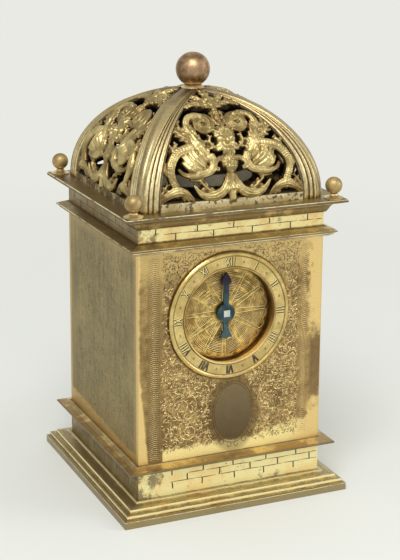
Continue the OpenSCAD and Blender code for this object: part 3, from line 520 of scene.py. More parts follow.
def worm_ground(seed, drawn, low, high, pitch, clear, allowed=lambda u, z: True):
    """Short curved strokes over a box of a face, clear of what is drawn there already."""
    rng = random.Random(seed)
    tree = nearest_of([(u0 + (u1 - u0) * part, z0 + (z1 - z0) * part) for line in drawn
                       for (u0, z0), (u1, z1) in zip(line, line[1:]) for part in (0, 0.5)])
    strokes = []
    for row in range(int((high[1] - low[1]) / pitch)):
        for column in range(int((high[0] - low[0]) / pitch)):
            u = low[0] + (column + rng.random()) * pitch
            z = low[1] + (row + rng.random()) * pitch
            if not allowed(u, z) or tree.find((u, z, 0))[2] < clear:
                continue
            turn = noise.noise(Vector((u * 0.13, z * 0.13, 3))) * 7 + rng.uniform(-0.6, 0.6)
            bend = rng.choice((-1, 1)) * rng.uniform(0.2, 0.75)
            step = pitch * rng.uniform(0.3, 0.62)
            line = [(u, z)]
            for _ in range(4):
                u, z = u + math.cos(turn) * step, z + math.sin(turn) * step
                turn += bend
                line.append((u, z))
            strokes.append(line)
    return strokes


def split(lines, share, seed):
    """Parts lines at random into a share of them and the rest."""
    rng = random.Random(seed)
    chosen = [line for line in lines if rng.random() < share]
    return chosen, [line for line in lines if line not in chosen]


def shifted(lines, du, dz):
    """The same lines a little to one side."""
    return [[(u + du, z + dz) for u, z in line] for line in lines]


scrolls = []
for hand, centres in (
        (-1, ((-18.6, 37.6, 6.2), (-16.2, 28.6, 3.6), (-22.3, 88.2, 3.0), (-23.6, 51.5, 2.4))),
        (1, ((19.4, 37.2, 6.2), (17.2, 28.6, 3.6), (21.4, 88.0, 3.4), (23.8, 51.5, 2.4)))):
    for number, (u, z, radius) in enumerate(centres):
        scrolls += scroll((u, z), radius, 90 + 40 * number, hand * (-1) ** number)
for z in (50.4, 49.4, 45.6, 44.9):
    scrolls += [[(-25.6, z), (-19, z + 0.1), (-12.5, z)],
                [(25.8, z - 2.6), (20, z - 2.5), (14.5, z - 2.4)]]
border = chevrons(-29, 4.6, 19.6, 93.2, 0.72) + chevrons(28.2, 2.8, 22, 93.2, 0.72)
oval_lines = []
for part in range(36):
    a, b = math.tau * part / 36, math.tau * (part + 1) / 36
    for reach in (1.02, 1.12):
        oval_lines.append([(shield_x + shield_u * reach * math.cos(turn),
                            shield_z + shield_s * reach * math.sin(turn))
                           for turn in (a, (a + b) / 2, b)])
for part in range(18):
    a = math.tau * part / 18
    centre = (shield_x + shield_u * 1.3 * math.cos(a), shield_z + shield_s * 1.22 * math.sin(a))
    oval_lines.append(curled(centre, 1.35, 0.9, math.degrees(a) + 180,
                             1 if math.cos(a) > 0 else -1, 8))


def open_field(u, z):
    """Whether a place lies between the borders, clear of the dial and the oval."""
    return (math.hypot(u - ring_x, z - ring_z) > ring_outer + 0.8
            and math.hypot((u - shield_x) / shield_u, (z - shield_z) / shield_s) > 1.4
            and -26.2 < u < 26.4)


drawn = scrolls + worm_ground(7, scrolls + border + oval_lines, (-26, 22.4), (26.5, 93.4),
                              pitch=0.72, clear=0.4, allowed=open_field)
bright_part, deep_part = split([line for line in drawn if gold_left(*line[0]) < 0], 0.58, 3)
whole_part = [line for line in drawn if gold_left(*line[0]) >= 0]
soft_line = flat_metal("worn_cuts", paint(232, 206, 146), 0.3)
shining_line = flat_metal("bright_cuts", paint(236, 214, 156), 0.28)
on_front = on_side(0)
cut_lines("front_bright_cuts", bright_part, 0.165, 0.05, on_front, soft_line)
cut_lines("front_deep_cuts", deep_part + whole_part, 0.18, 0.02, on_front, dark_line)
cut_lines("front_borders", border, 0.13, 0.04, on_front, soft_line)
# Painted shadows just below the border's bent strokes.
cut_lines("front_border_shadows", shifted(border[2:], 0, -0.3), 0.16, 0.02, on_front, dark_line)
cut_lines("shield_frame", oval_lines, 0.26, 0.03, on_front, dark_line)
cut_lines("front_shining_cuts", split(bright_part, 0.3, 5)[0], 0.22, 0.07, on_front,
          shining_line)


# The side plates and the back door: the same work, but its gilding has gone dull and grey-green,
# with gold left only along the edges. The door hangs on two pins through knuckles at the back.
def side_finish(name, turns):
    """The gilding of one of these plates; turns counts the faces from the front to the right."""
    finish, shade = new_finish(name)
    rear, z = axis(shade, "X") * -1 if turns == 2 else axis(shade, "Y"), axis(shade, "Z")
    broad, patch = cloudy(shade, 16, 5, turns), cloudy(shade, 3.5, 6, 3.1, 0.65)
    grain = grained(shade, 0.5, 0.75)
    streak = cloudy(shade, 2.2, 5, 2.0, 0.6, (1, 1, 0.12))
    stray = (patch - 0.5) * 5 + (grain - 0.5) * 2
    gold = ((rear * -1 - 31.2 + stray * 0.8).above(-1.0, 2.0) * 0.55
            + (rear - 33.2 + stray * 0.15).above(-0.3, 0.4) * 0.9
            + (22 + rear.above(-20, 34) * 3.2 - z + stray * 0.5).above(-0.5, 0.8) * 0.9
            + (z - 91 + stray * 1.2).above(-1.5, 2.5) * 0.4).above(0, 1)
    worn = (broad * 0.6 + streak * 0.4).above(0.38, 0.62)
    colour = layered(worn.mix(paint(134, 120, 80), paint(170, 153, 106)),
                     (z.above(40, 22) * 0.5, paint(140, 116, 74)),
                     (gold, paint(206, 172, 104)),
                     (grain.above(0.45, 0.7) * 0.4, paint(84, 70, 44)))
    return coated(finish, colour, 0.4 - gold * 0.1 + grain * 0.12, 1.0, grain + patch * 0.5, 0.06)


dress(side_finish("left_plate_gilding", 3), "left_plate")
dress(side_finish("right_plate_gilding", 1), "right_plate")
dress(side_finish("door_gilding", 2), "back_door")
faint_line = flat_metal("faint_cuts", paint(104, 88, 56), 0.45, 0.8)
pale_line = flat_metal("pale_cuts", paint(178, 158, 108), 0.35)
for turns, name, body, half in ((3, "left", "case", 30.5), (1, "right", "case", 30.5),
                                (2, "door", "door", 29.0)):
    drawn = []
    for row in range(4):
        for hand in (-1, 1):
            drawn += scroll((hand * 11.5, 31 + row * 17), 7.2, 90 + 90 * row, hand * (-1) ** row,
                            1.9)
    for hand in (-1, 1):
        drawn += chevrons(hand * (half - 1.5), 3, 22, 92, 1.1)
    drawn += worm_ground(40 + turns, drawn, (-half + 4, 22), (half - 4, 92), pitch=1.35,
                         clear=0.5)
    pale, faint = split(drawn, 0.35, 60 + turns)
    cut_lines(name + "_faint_cuts", faint, 0.12, 0.02, on_side(turns), faint_line, body)
    cut_lines(name + "_pale_cuts", pale, 0.12, 0.03, on_side(turns), pale_line, body)
dress(gilding("knob_gilding", paint(226, 196, 126), paint(170, 144, 92), dirt=0.35), "door_knob")


# The movement: brass plates, pillars, barrels and wheels, left ungilt and gone brown with age,
# with filed steel arbors, pinions, levers and springs, and the gut line between barrel and fusee.
def brushed_metal(name, light, dark):
    """Bare metal, clouded by age, with the fine upright marks of a brush or a file."""
    finish, shade = new_finish(name)
    brushed = cloudy(shade, 0.5, 4, 1.2, 0.7, (1, 1, 0.15))
    cloud = (cloudy(shade, 8, 5, 4.2) * 0.6 + brushed * 0.4).above(0.36, 0.64)
    return coated(finish, cloud.mix(dark, light), 0.32 + brushed * 0.2, 1.0, brushed, 0.03)


dress(brushed_metal("old_brass", paint(176, 148, 90), paint(116, 92, 52)),
      "corner_posts", "frame_bottom", "frame_top", "frame_pillars", "front_bar", "middle_bar",
      "back_bar", "potence", "balance_cock", "going_barrel", "strike_barrel")
dress(brushed_metal("wheel_brass", paint(206, 176, 108), paint(158, 130, 74)),
      "fusee", "great_wheel", "second_wheel", "third_wheel", "crown_wheel", "hour_wheel",
      "intermediate_wheel", "pin_wheel", "hoop_wheel", "count_wheel", "fly", "balance_wheel")
dress(brushed_metal("filed_steel", paint(150, 150, 146), paint(88, 86, 84)),
      "base_screws", "hinge_pins", "fusee_arbor", "barrel_arbors", "verge", "hammer",
      "count_lever", "bell_stand")
dress(brushed_metal("spring_temper", paint(108, 104, 112), paint(62, 62, 76)), "mainsprings")
finish, shade = new_finish("twisted_gut")
strand = cloudy(shade, 0.4, 3, 2.0, 0.6, (1, 1, 0.3))
colour = strand.above(0.35, 0.65).mix(paint(150, 118, 70), paint(206, 180, 128))
dress(coated(finish, colour, 0.5 + strand * 0.2, 0.0, strand, 0.05), "gut_line")


# The dial: a turned ring riveted to the plate, with its hours cut in and filled with dark wax,
# round a sunk disc of twelve rayed fields. The well's wall is painted lit below and shaded above,
# and a ring of painted shadow lies round the disc's edge at the foot of the wall.
ring_face, disc_face = 36.0, 31.4
hour_reach, hour_low, hour_high = 19.4, 17.95, 20.95
numerals = ("XII", "I", "II", "III", "IIII", "V", "VI", "VII", "VIII", "IX", "X", "XI")
letter_wide = {"I": 0.95, "V": 1.75, "X": 1.75}
finish, shade = new_finish("ring_gilding")
height = axis(shade, "Z") - ring_z
patch, grain = cloudy(shade, 4, 6, 3.1, 0.6), grained(shade, 0.5)
reach = from_dial(shade) + (patch - 0.5) * 0.3
# wall is the well's inner wall, painted lit at the bottom and shaded at the top.
grooves, wall = near_lines(reach, (17.55, 21.25), 0.3), reach.above(17.3, 17.0)
colour = layered(patch.above(0.42, 0.62).mix(paint(206, 180, 114), paint(238, 212, 144)),
                 ((height + patch * 16).above(4, -14) * 0.4, paint(190, 162, 104)),
                 (grain.above(0.5, 0.75) * 0.4, brown_dirt),
                 (grooves * 0.75, paint(84, 64, 38)),
                 (wall, height.above(-2, -12).mix(paint(126, 96, 54), paint(246, 216, 150))))
dress(coated(finish, colour, 0.26 + grain * 0.12 + grooves * 0.2, 1.0 - wall * 0.3,
             grain + cloudy(shade, 1.2, 4, 7.7) * 0.3, 0.04), "chapter_ring")
finish, shade = new_finish("disc_gilding")
patch, grain = cloudy(shade, 3, 6, 3.1, 0.6), grained(shade, 0.4)
reach = from_dial(shade) + (patch - 0.5) * 1.6
colour = layered(patch.above(0.42, 0.6).mix(paint(160, 128, 62), paint(242, 206, 124)),
                 (grain.above(0.45, 0.7) * 0.5, paint(100, 74, 36)),
                 # A ring of painted shadow round the disc's edge, at the foot of the well's wall.
                 (reach.above(16.3, 17.0) * 0.85, paint(78, 56, 38)))
dress(coated(finish, colour, 0.3 + grain * 0.15, 1.0, grain, 0.05), "dial_disc")


def around_dial(reach, degrees):
    """A place at some distance from the hand's arbor, at an angle clockwise from twelve."""
    turn = math.radians(degrees)
    return ring_x + reach * math.sin(turn), ring_z + reach * math.cos(turn)


def hour_strokes(text, hour):
    """The strokes of a Roman numeral, upright on its hour line."""
    strokes = []
    left = -sum(letter_wide[letter] for letter in text) / 2
    for letter in text:
        a, b = left + 0.15, left + letter_wide[letter] - 0.15
        middle = (a + b) / 2
        strokes += {
            "I": [((middle, hour_high), (middle, hour_low))],
            "V": [((a, hour_high), (middle, hour_low)), ((middle, hour_low), (b, hour_high))],
            "X": [((a, hour_high), (b, hour_low)), ((b, hour_high), (a, hour_low))]}[letter]
        left += letter_wide[letter]
    degree = 180 / math.pi / hour_reach
    return [[around_dial(reach, 30 * hour + across * degree) for across, reach in stroke]
            for stroke in strokes]


on_ring, on_disc = on_side(0, ring_face), on_side(0, disc_face)
hour_lines = [line for hour, text in enumerate(numerals) for line in hour_strokes(text, hour)]
# The upper numerals take a painted highlight beside their wax; the lower ones a thin pale core.
shining_hours = [line for line in hour_lines if line[0][1] > ring_z - 12]
unhighlit_hours = [line for line in hour_lines if line not in shining_hours]
cut_lines("hours_dark", hour_lines, 0.86, 0.03, on_ring, dark_line, taper=1.0)
cut_lines("hours_bright", shifted(shining_hours, -0.1, 0.1), 0.36, 0.09, on_ring,
          flat_metal("hour_gleam", paint(252, 226, 152), 0.35, 0.2), taper=0.9)
cut_lines("hours_unhighlit", unhighlit_hours, 0.2, 0.06, on_ring, soft_line)
lozenges = []
for hour in range(12):
    u, z = around_dial(hour_reach, 30 * hour + 15)
    lozenges.append([(u - 0.35, z), (u, z + 0.45), (u + 0.35, z), (u, z - 0.45),
                     (u - 0.3, z - 0.05)])
cut_lines("half_hours", lozenges, 0.3, 0.03, on_ring, dark_line)
for name, radius in (("outer", 22.0), ("inner", 17.2)):
    circle = [around_dial(radius, 5 * k) for k in range(73)]
    cut_lines("ring_line_" + name, [circle], 0.2, 0.42, on_ring, soft_line)
rays, hatching, petals = [], [], []
rng = random.Random(11)
for sector in range(12):
    for side in (-1, 1):
        rays.append([around_dial(4.2, 30 * sector + side * 12),
                     around_dial(15.4, 30 * sector + side * 1.6)])
    tilt = 0.9 * math.sin(sector * 1.7)
    for step in range(18):
        reach = 4.9 + step * 0.58
        sweep = 17.4 - 55 / reach
        if rng.random() < 0.12:
            continue
        hatching.append([around_dial(reach + tilt * (part - 0.5) + rng.uniform(-0.05, 0.05),
                                     30 * sector + 15 + sweep * (2 * part - 1))
                         for part in (0, 0.33, 0.66, 1)])
    for half in (-7.5, 7.5):
        petals.append([around_dial(15.3 + math.cos(math.radians(90 * part)),
                                   30 * sector + half + 7.0 * part)
                       for part in (-1, -0.6, -0.2, 0.2, 0.6, 1)])
cut_lines("disc_rays", rays, 0.42, 0.12, on_disc,
          flat_metal("ray_gleam", paint(255, 240, 180), 0.4, 0.0))
cut_lines("disc_ray_shadows", shifted(rays, 0.24, -0.28), 0.24, 0.02, on_disc, dark_line)
cut_lines("disc_hatching", hatching, 0.18, 0.05, on_disc, soft_line)
cut_lines("disc_hatching_shadow", shifted(hatching, 0, -0.22), 0.33, 0.02, on_disc, dark_line)
cut_lines("disc_petals", petals, 0.22, 0.04, on_disc, soft_line)


# The hand: filed from one piece of steel, blued over a flame and fitted on the squared,
# bright end of its arbor.
finish, shade = new_finish("blued_steel")
patch, grain = cloudy(shade, 4, 5, 3.3), grained(shade, 0.4)
height = axis(shade, "Z") - ring_z
colour = layered(patch.above(0.4, 0.62).mix(paint(56, 76, 84), paint(84, 106, 108)),
                 ((height + patch * 6).above(8, 15), paint(56, 50, 66)))
dress(coated(finish, colour, 0.34 + grain * 0.2, 1.0, grain, 0.03), "hour_hand")
dress(brushed_metal("arbor_steel", paint(236, 236, 230), paint(190, 190, 182)), "hour_arbor")


# The cornices and the frieze: two mitred mouldings with a band of masonry between them.
# Their lips are dull grey-brown; dirt and painted shade lie in the hollows under them, painted
# highlight lines run along their rounds, and painted shade darkens their left sides.
dress(gilding("cornice_gilding", paint(252, 230, 172), paint(194, 172, 126), rough=0.27,
              hollows=(94.1, 95.05, 95.7, 97.8), hollow_wide=0.24, lip=38.4, left_shade=0.6,
              stain=0.3, brightened=(94.7, 95.4, 96.5)), "lower_cornice")
dress(gilding("frieze_gilding", paint(255, 238, 172), paint(244, 212, 146), share=0.85, dirt=0.2,
              spots=0.8, rough=0.28, hollows=(98.0, 102.7), hollow_wide=0.28, left_shade=0.85,
              metal=0.85, stain=0.7), "frieze_band")
dress(gilding("crowning_gilding", paint(206, 180, 126), paint(146, 126, 86), spots=0.65,
              rough=0.27, hollows=(102.9, 106.75), lip=39.2, left_shade=0.75, stain=0.3,
              brightened=(106.4, 107.75)), "top_moulding")
masonry("frieze", 30, levels=(98.1, 100.4, 102.6), pitch=14.1, first=-35.1, plain_to=-29,
        upright_wide=0.65)


# The rails at the dome's foot: four flat lengths of brass between the ribs, standing on the
# top moulding and soldered to the ribs' feet; gilt bright, and pitted black since.
dress(gilding("rail_gilding", paint(255, 242, 198), paint(216, 196, 148), share=0.8, spots=2.2,
              rough=0.27, stain=0.8), "dome_rails")


# The dome's ribs: four arched lengths of brass moulding, each filed flat along its back where
# it was handled most, with reeds on both faces; mitred on the crown and riveted by the ball's
# stem. They are olive on the flat back and gold on the reeds low down; the crown is brown as a
# painted shadow under the ball, and dirt and painted shade darken the reeds' grooves.
dome_radius, dome_foot, spring_height = 35.0, 108.0, 109.0
rib_thick, rib_foot, rib_meeting = 2.2, 8.3, 4.9
rib_spread = (dome_radius - rib_foot) / (dome_radius - rib_meeting)
reed_profile = (
    (0, 0), (0.025, 0.5), (0.06, 0.55), (0.1, 0.16), (0.16, 0), (0.23, 0.12), (0.27, 0.5),
    (0.31, 0.55), (0.35, 0.14), (0.42, 0), (0.5, 0.1), (0.55, 0.5), (0.59, 0.55), (0.63, 0.2),
    (0.72, 0.02), (0.84, 0.06), (0.9, 0.4), (0.94, 0.45), (1, 0.3))


def rib_rings(sx, sy):
    """Rings up the rib at the corner sx, sy: in over one face's reeds, out over the other's."""
    rings = []
    turns = (0.01, *range(1, 85), 84.8)
    for up, foot in [(0.0, dome_foot)] + [(math.radians(turn), spring_height) for turn in turns]:
        half_wide = dome_radius * math.cos(up)
        width = half_wide - max(0.0, rib_spread * (half_wide - rib_meeting))
        flat = min(2.1 + 1.3 * math.sin(up) ** 2, width - 0.4)
        outline = []
        for part, deep in reed_profile:
            if 0 < part < 1:
                worn = noise.noise(Vector((len(rings) * 0.33, part * 9, sx * 3 + sy * 7))) * 0.12
                deep = max(0.0, deep * (1 + worn * 2) + max(0.0, worn) * 0.7)
            outline.append((flat - half_wide + part * (width - flat),
                            -(dome_radius - deep) * math.cos(up),
                            foot + (dome_radius - deep) * math.sin(up)))
        inside = dome_radius - rib_thick
        edge, back, low = width - half_wide, -inside * math.cos(up), foot + inside * math.sin(up)
        ring = ([(edge, back, low)] + outline[::-1] + [(y, x, z) for x, y, z in outline]
                + [(back, edge, low), (back, back, low)])
        rings.append([(-sx * x, -sy * y, z) for x, y, z in ring])
    return rings


finish, shade = new_finish("rib_gilding")
patch, grain = cloudy(shade, 5, 6, 3.1), grained(shade, 0.7)
x, y, height = abs(axis(shade, "X")), abs(axis(shade, "Y")), axis(shade, "Z") - spring_height
half_wide = shade.maths("MAXIMUM", dome_radius ** 2 - height * height, 0.01) ** 0.5
across = half_wide * 2 - x - y + (grain - 0.5) * 0.5
out = shade.maths("MAXIMUM", x, y)
depth = dome_radius - (out * out + height * height) ** 0.5
# Dirt and painted shade in the grooves between the reeds.
hollow = (depth + (grain - 0.5) * 0.2).above(0.14, 0.42) * across.above(3.0, 3.6)
flat_back = patch.above(0.35, 0.65).mix(paint(160, 144, 106), paint(200, 182, 138))
reeds = layered(
    (height + patch * 10 - 5).above(6, 26).mix(paint(240, 222, 172), paint(186, 166, 120)),
    (patch.above(0.36, 0.66) * 0.6, paint(188, 166, 116)))
colour = layered(across.above(2.2, 2.9).mix(flat_back, reeds),
                 (hollow * 0.9, paint(62, 48, 30)),
                 (grain.above(0.45, 0.8) * 0.5, brown_dirt),
                 # A painted shadow under the crown ball.
                 ((height + patch * 5).above(33.5, 37) * 0.6, paint(84, 62, 48)))
coated(finish, colour, 0.3 + hollow * 0.3 + grain * 0.15, 1.0 - hollow * 0.4, grain, 0.05)
points, faces = [], []
for sx, sy in ((-1, -1), (-1, 1), (1, -1), (1, 1)):
    rings = rib_rings(sx, sy)
    faces += [tuple(len(points) + i for i in face)[::sx * sy]
              for face in tube_faces(len(rings), len(rings[0]))]
    points += sum(rings, [])
piece("ribs", skin("ribs", points, faces, finish), "case", "dome_ribs")


# The pierced panels: four castings of scrolling acanthus, chased and gilt, let into the bays
# between the ribs. One wax model served for all four, so one shape is used four times. They are
# bright on the rubbed tops, and brown in the hollows and nearly black at the back, as tarnish
# and painted shade.
panel_radius = 34.3
vein_deep, vein_wide = 0.34, 0.3
tucked_under_rib = 0.4


def smooth_line(line):
    """Points on a soft curve through the corners of a line."""
    steps = 6
    line = [Vector(p) for p in line]
    ends = [line[0] * 2 - line[1]] + line + [line[-1] * 2 - line[-2]]
    points = []
    for a, b, c, d in zip(ends, ends[1:], ends[2:], ends[3:]):
        for i in range(steps):
            t = i / steps
            points.append(0.5 * (2 * b + (c - a) * t + (2 * a - 5 * b + 4 * c - d) * t * t
                                 + (3 * b - a - 3 * c + d) * t ** 3))
    return points + [line[-1]]


def between(values, t):
    """A value at t from 0 to 1, between those at the start, in the middle and at the end."""
    start, middle, end = values
    return start + (middle - start) * t * 2 if t < 0.5 else middle + (end - middle) * (t * 2 - 1)


def sideways_at(pts, i):
    """Which way a line runs at one of its points, and which way is across it."""
    way = (pts[min(i + 1, len(pts) - 1)] - pts[max(i - 1, 0)]).normalized()
    side = way.copy()
    side.x, side.y = -way.y, way.x
    return way, side


class Casting:
    """Overlapping stems and lobes, drawn flat as [sideways, up along the curve, out], to be
    melted together. They are drawn stouter than half their widths, as melting slims them."""

    half = 0.62

    def __init__(self):
        self.points, self.faces, self.veins = [], [], []

    def tube(self, rings):
        """Adds a closed shape from rings of points."""
        start = len(self.points)
        self.faces += [tuple(start + i for i in face)
                       for face in tube_faces(len(rings), len(rings[0]))]
        self.points += sum(rings, [])

    def stem(self, line, widths, lift=(0, 0, 0), thick=0.5, vein=True):
        """A rounded stem along a line; widths and lift hold for its start, middle and end."""
        pts = smooth_line([tuple(p) + (0,) for p in line])
        last = len(pts) - 1
        rings = []
        for i, point in enumerate(pts):
            side = sideways_at(pts, i)[1]
            wide, rise = between(widths, i / last) * self.half, between(lift, i / last)
            close = 0.7 if i in (0, last) else 1.0
            high = max(wide * thick * 1.1, 0.45) * close
            rings.append([point + side * (wide * close * math.cos(turn))
                          + Vector((0, 0, rise + high * math.sin(turn) - 0.25))
                          for turn in (math.tau * k / 10 for k in range(10))])
            if vein:
                for across in ((-0.45, 0, 0.45) if wide > 1.1 else (0,)):
                    self.veins.append((point.x + side.x * wide * across,
                                       point.y + side.y * wide * across, wide))
        self.tube(rings)

    def lobe(self, root, tip, wide, rise):
        """One finger of a leaf: thin at its root, full near its tip."""
        root, tip = Vector(root), Vector(tip)
        self.stem([root, root.lerp(tip, 0.6), tip], (wide * 0.7, wide, wide * 0.6),
                  (rise * 0.3, rise, rise * 0.6), 0.62, False)

    def leaf(self, line, widths, lift=(0.1, 0.35, 0.3), finger=1.8):
        """A leaf along a line: a thin body, a middle rib, and fingers over both its sides."""
        self.stem(line, [w * 0.85 for w in widths], [rise - 0.45 for rise in lift], 0.36, False)
        self.stem(line, [w * 0.22 + 0.35 for w in widths], [rise + 0.2 for rise in lift], 0.7,
                  False)
        pts = smooth_line(line)
        gone = finger
        for i in range(1, len(pts) - 1):
            gone += (pts[i] - pts[i - 1]).length
            if gone < finger:
                continue
            gone = 0.0
            way, side = sideways_at(pts, i)
            wide = between(widths, i / (len(pts) - 1)) * self.half
            for hand in (-1, 1):
                self.lobe(pts[i], pts[i] + (side * hand * 0.9 + way * 1.25) * wide * 0.95,
                          min(1.05, wide * 0.75), 0.05 + lift[1])

    def ridged(self, start_edge, end_edge, count, wide, rise, bend=0.0):
        """Ridges side by side from one edge to another, like the back of a shell."""
        start_edge, end_edge = smooth_line(start_edge), smooth_line(end_edge)
        for i in range(count):
            part = i / (count - 1)
            root = start_edge[round(part * (len(start_edge) - 1))]
            tip = end_edge[round(part * (len(end_edge) - 1))]
            way = tip - root
            middle = root.lerp(tip, 0.5) + Vector((-way.y, way.x)) * bend
            self.stem([root, middle, tip], (wide * 0.7, wide, wide * 0.6), (0.1, rise, 0.1), 0.8,
                      False)

    def fan(self, root, middle, spread, length, count, wide, rise):
        """Fingers that spread from one root, the middle ones longest; angles in degrees."""
        for i in range(count):
            part = i / (count - 1) - 0.5
            turn = math.radians(middle + spread * part)
            reach = length * (1 - 0.5 * abs(part) ** 1.5)
            self.lobe(root, (root[0] + reach * math.cos(turn), root[1] + reach * math.sin(turn)),
                      wide, rise * (1 - abs(part)))

    def cushion(self, centre, radius_u, radius_s, low, high):
        """A plain rounded bed under the fingers, so that they hang together."""
        self.tube([[Vector((centre[0] + radius_u * math.cos(turn) * math.cos(a),
                            centre[1] + radius_s * math.cos(turn) * math.sin(a),
                            (low + high) / 2 + (high - low) / 2 * math.sin(turn)))
                    for a in (math.tau * k / 16 for k in range(16))]
                   for turn in (math.radians(-88 + 176 * ring / 6) for ring in range(7))])

    def mirrored(self):
        """Adds the other half."""
        start = len(self.points)
        self.points += [Vector((-p.x, p.y, p.z)) for p in self.points]
        self.faces += [tuple(start + i for i in face)[::-1] for face in self.faces]
        self.veins += [(-u, s, wide) for u, s, wide in self.veins]


panel = Casting()
# The lower leaves, left and right of the trunk
panel.stem([(0.8, 9.5), (1.8, 6.5), (4, 3.5), (7.8, 2.3), (11.5, 3.2), (14.4, 6.6)],
           (1.8, 3.4, 0.8), (0.1, 0.4, 0.6), 0.45)
panel.leaf([(6.2, 3.4), (9, 4.8), (11.8, 7.6)], (2.2, 3.0, 0.9), (0, 0.2, 0.5), 2.4)
panel.stem([(27, 0.6), (24, 3.4), (20.5, 4.8), (17, 3.8), (14, 1.2)], (1.0, 3.4, 0.9),
           (0, 0.4, 0.2), 0.45)
panel.leaf([(22, 3.6), (18.6, 3.2), (16, 1.4)], (1.6, 2.4, 0.9), (0, 0.1, 0), 2.4)
panel.leaf([(27.6, 1.0), (25.6, 4.6), (23.6, 7.4)], (1.6, 2.4, 1.0), (-0.3, 0, 0))
# The large scroll and the shell-like leaf that it holds
panel.stem([(20, 5), (22, 9.5), (21.8, 13.3), (18.7, 17.5), (12.4, 19.4)], (2.4, 2.8, 3.0),
           (0, 0.35, 0.2), 0.6)
panel.stem([(21.8, 8.6), (23.6, 11.6), (23.4, 14.8)], (1.0, 2.0, 0.6), (0, 0.2, 0.1))
panel.leaf([(20, 15.6), (20.2, 18.6), (18.2, 21.4)], (1.6, 2.8, 1.0), (0.1, 0.3, 0.2), 2.2)
panel.cushion((12.4, 15.2), 4.8, 4.4, -1.3, 0.5)
panel.ridged([(17.6, 14.6), (16.8, 17.6), (14.6, 19.8), (10.8, 20)],
             [(11.6, 10.8), (10.0, 10.9), (8.6, 12), (7.8, 13.6)], 6, 1.45, 0.95, 0.16)
panel.stem([(19, 12.4), (17.4, 10.4), (14.6, 9.6), (10.9, 9.9), (7.4, 11), (6.2, 13.8),
            (7.2, 16.4)], (1.0, 2.3, 2.8), (0, 0.45, 0.3), 0.6)
panel.stem([(8.4, 10.8), (11.4, 8.5), (15.4, 8.2)], (1.0, 1.9, 0.7), (0, 0.2, 0.1))
# The broad leaf, the leaf at its tip, and the roll above
panel.leaf([(7.2, 14.6), (9.4, 18.5), (11.4, 22), (12.6, 25.6)], (4.0, 5.6, 3.4),
           (0.2, 0.45, 0.4), 1.6)
panel.leaf([(12, 21.4), (15, 23), (17.8, 26)], (2.6, 3.4, 1.6), (0, 0.3, 0.2), 1.5)
panel.leaf([(13.4, 25), (15.6, 26.8), (15.4, 30.4)], (2.0, 2.6, 1.2), (0, 0.2, 0.1))
panel.leaf([(0.6, 26.4), (1.9, 29.4), (1.6, 33)], (1.4, 2.2, 1.2), (0, 0.1, 0.2))
panel.stem([(12.3, 24), (13, 27), (11.5, 30.2), (8.3, 31.4), (5.6, 30.6)], (2.4, 2.0, 1.7),
           (0.1, 0.45, 0.4), 0.65)
panel.cushion((6.5, 27.8), 4.6, 4.3, -1.3, 0.25)
panel.stem(curled((6.5, 27.9), 4.2, 2.3, 80, 1, 7 * 2.3, 0.86), (1.5, 1.275, 0.9),
           (0, 0.45, 0.9), 0.6)
panel.stem([(0.8, 14.7), (4.2, 14.5), (6, 11.9), (4.2, 11)], (2.0, 1.6, 1.4), (0, 0.2, 0.5), 0.65)
# The palmette under the crown, and small leaves beside the boss
panel.cushion((4, 36.6), 4.6, 1.7, -1.3, -0.3)
panel.leaf([(0.4, 34.6), (3.4, 36.4), (7, 37), (10.8, 35.2)], (2.4, 3.0, 1.6), (0.1, 0.4, 0.2))
panel.leaf([(0.2, 35), (2.8, 38.4), (5.2, 40.4), (7.4, 40.8)], (2.2, 2.8, 1.4), (0.1, 0.5, 0.3))
panel.leaf([(2.2, 18.2), (4.6, 18.6), (6.2, 20.6), (5.6, 22.8)], (2.0, 2.6, 1.4), (0.2, 0.5, 0.5))
panel.leaf([(1.8, 23), (3.6, 24.8), (5.2, 24.6)], (2.0, 2.4, 1.2), (0.2, 0.5, 0.3))
panel.mirrored()
# The trunk with its knops, the foliate boss, and the stalk of the palmette
panel.stem([(0, 0), (0, 5), (0, 10), (0, 17)], (3.0, 2.0, 2.2), (0, 0.2, 0.3), 0.6, False)
panel.ridged([(-1.9, 2.6), (0, 2.0), (1.9, 2.6)], [(-1.3, 6.4), (0, 7.2), (1.3, 6.4)],
             3, 1.15, 0.9)
panel.ridged([(-2.2, 13.8), (0, 14.8), (2.2, 13.8)], [(-1.1, 9.6), (0, 8.6), (1.1, 9.6)],
             4, 1.1, 0.9)
panel.cushion((0, 20.8), 3.9, 4.3, -1.3, 0.95)
panel.cushion((2.1, 21.2), 1.5, 1.4, -0.6, 1.35)
panel.cushion((-2.1, 21.2), 1.5, 1.4, -0.6, 1.35)
panel.cushion((0, 13.2), 3.4, 3.4, -1.2, 1.0)
panel.cushion((0, 8.2), 2.0, 3.2, -1.2, 0.6)
panel.cushion((0, 4.2), 2.4, 2.8, -1.2, 0.5)
panel.fan((0, 21.8), 90, 150, 5.0, 7, 1.5, 1.3)
panel.fan((0, 20.2), 270, 150, 5.0, 7, 1.4, 1.3)
panel.cushion((0, 20.4), 1.1, 1.5, -0.6, 1.9)
panel.stem([(0, 25), (0, 29), (0, 35)], (2.0, 1.5, 2.0), (0.1, 0.1, 0.3), 0.6)
panel.leaf([(0, 34.4), (0, 39), (0, 45.6)], (3.0, 3.4, 2.0), (0.2, 0.6, 0.4))
panel.stem([(-27.6, 1.1), (0, 1.1), (27.6, 1.1)], (1.2, 1.2, 1.2), (-0.5, -0.5, -0.5), 0.5, False)


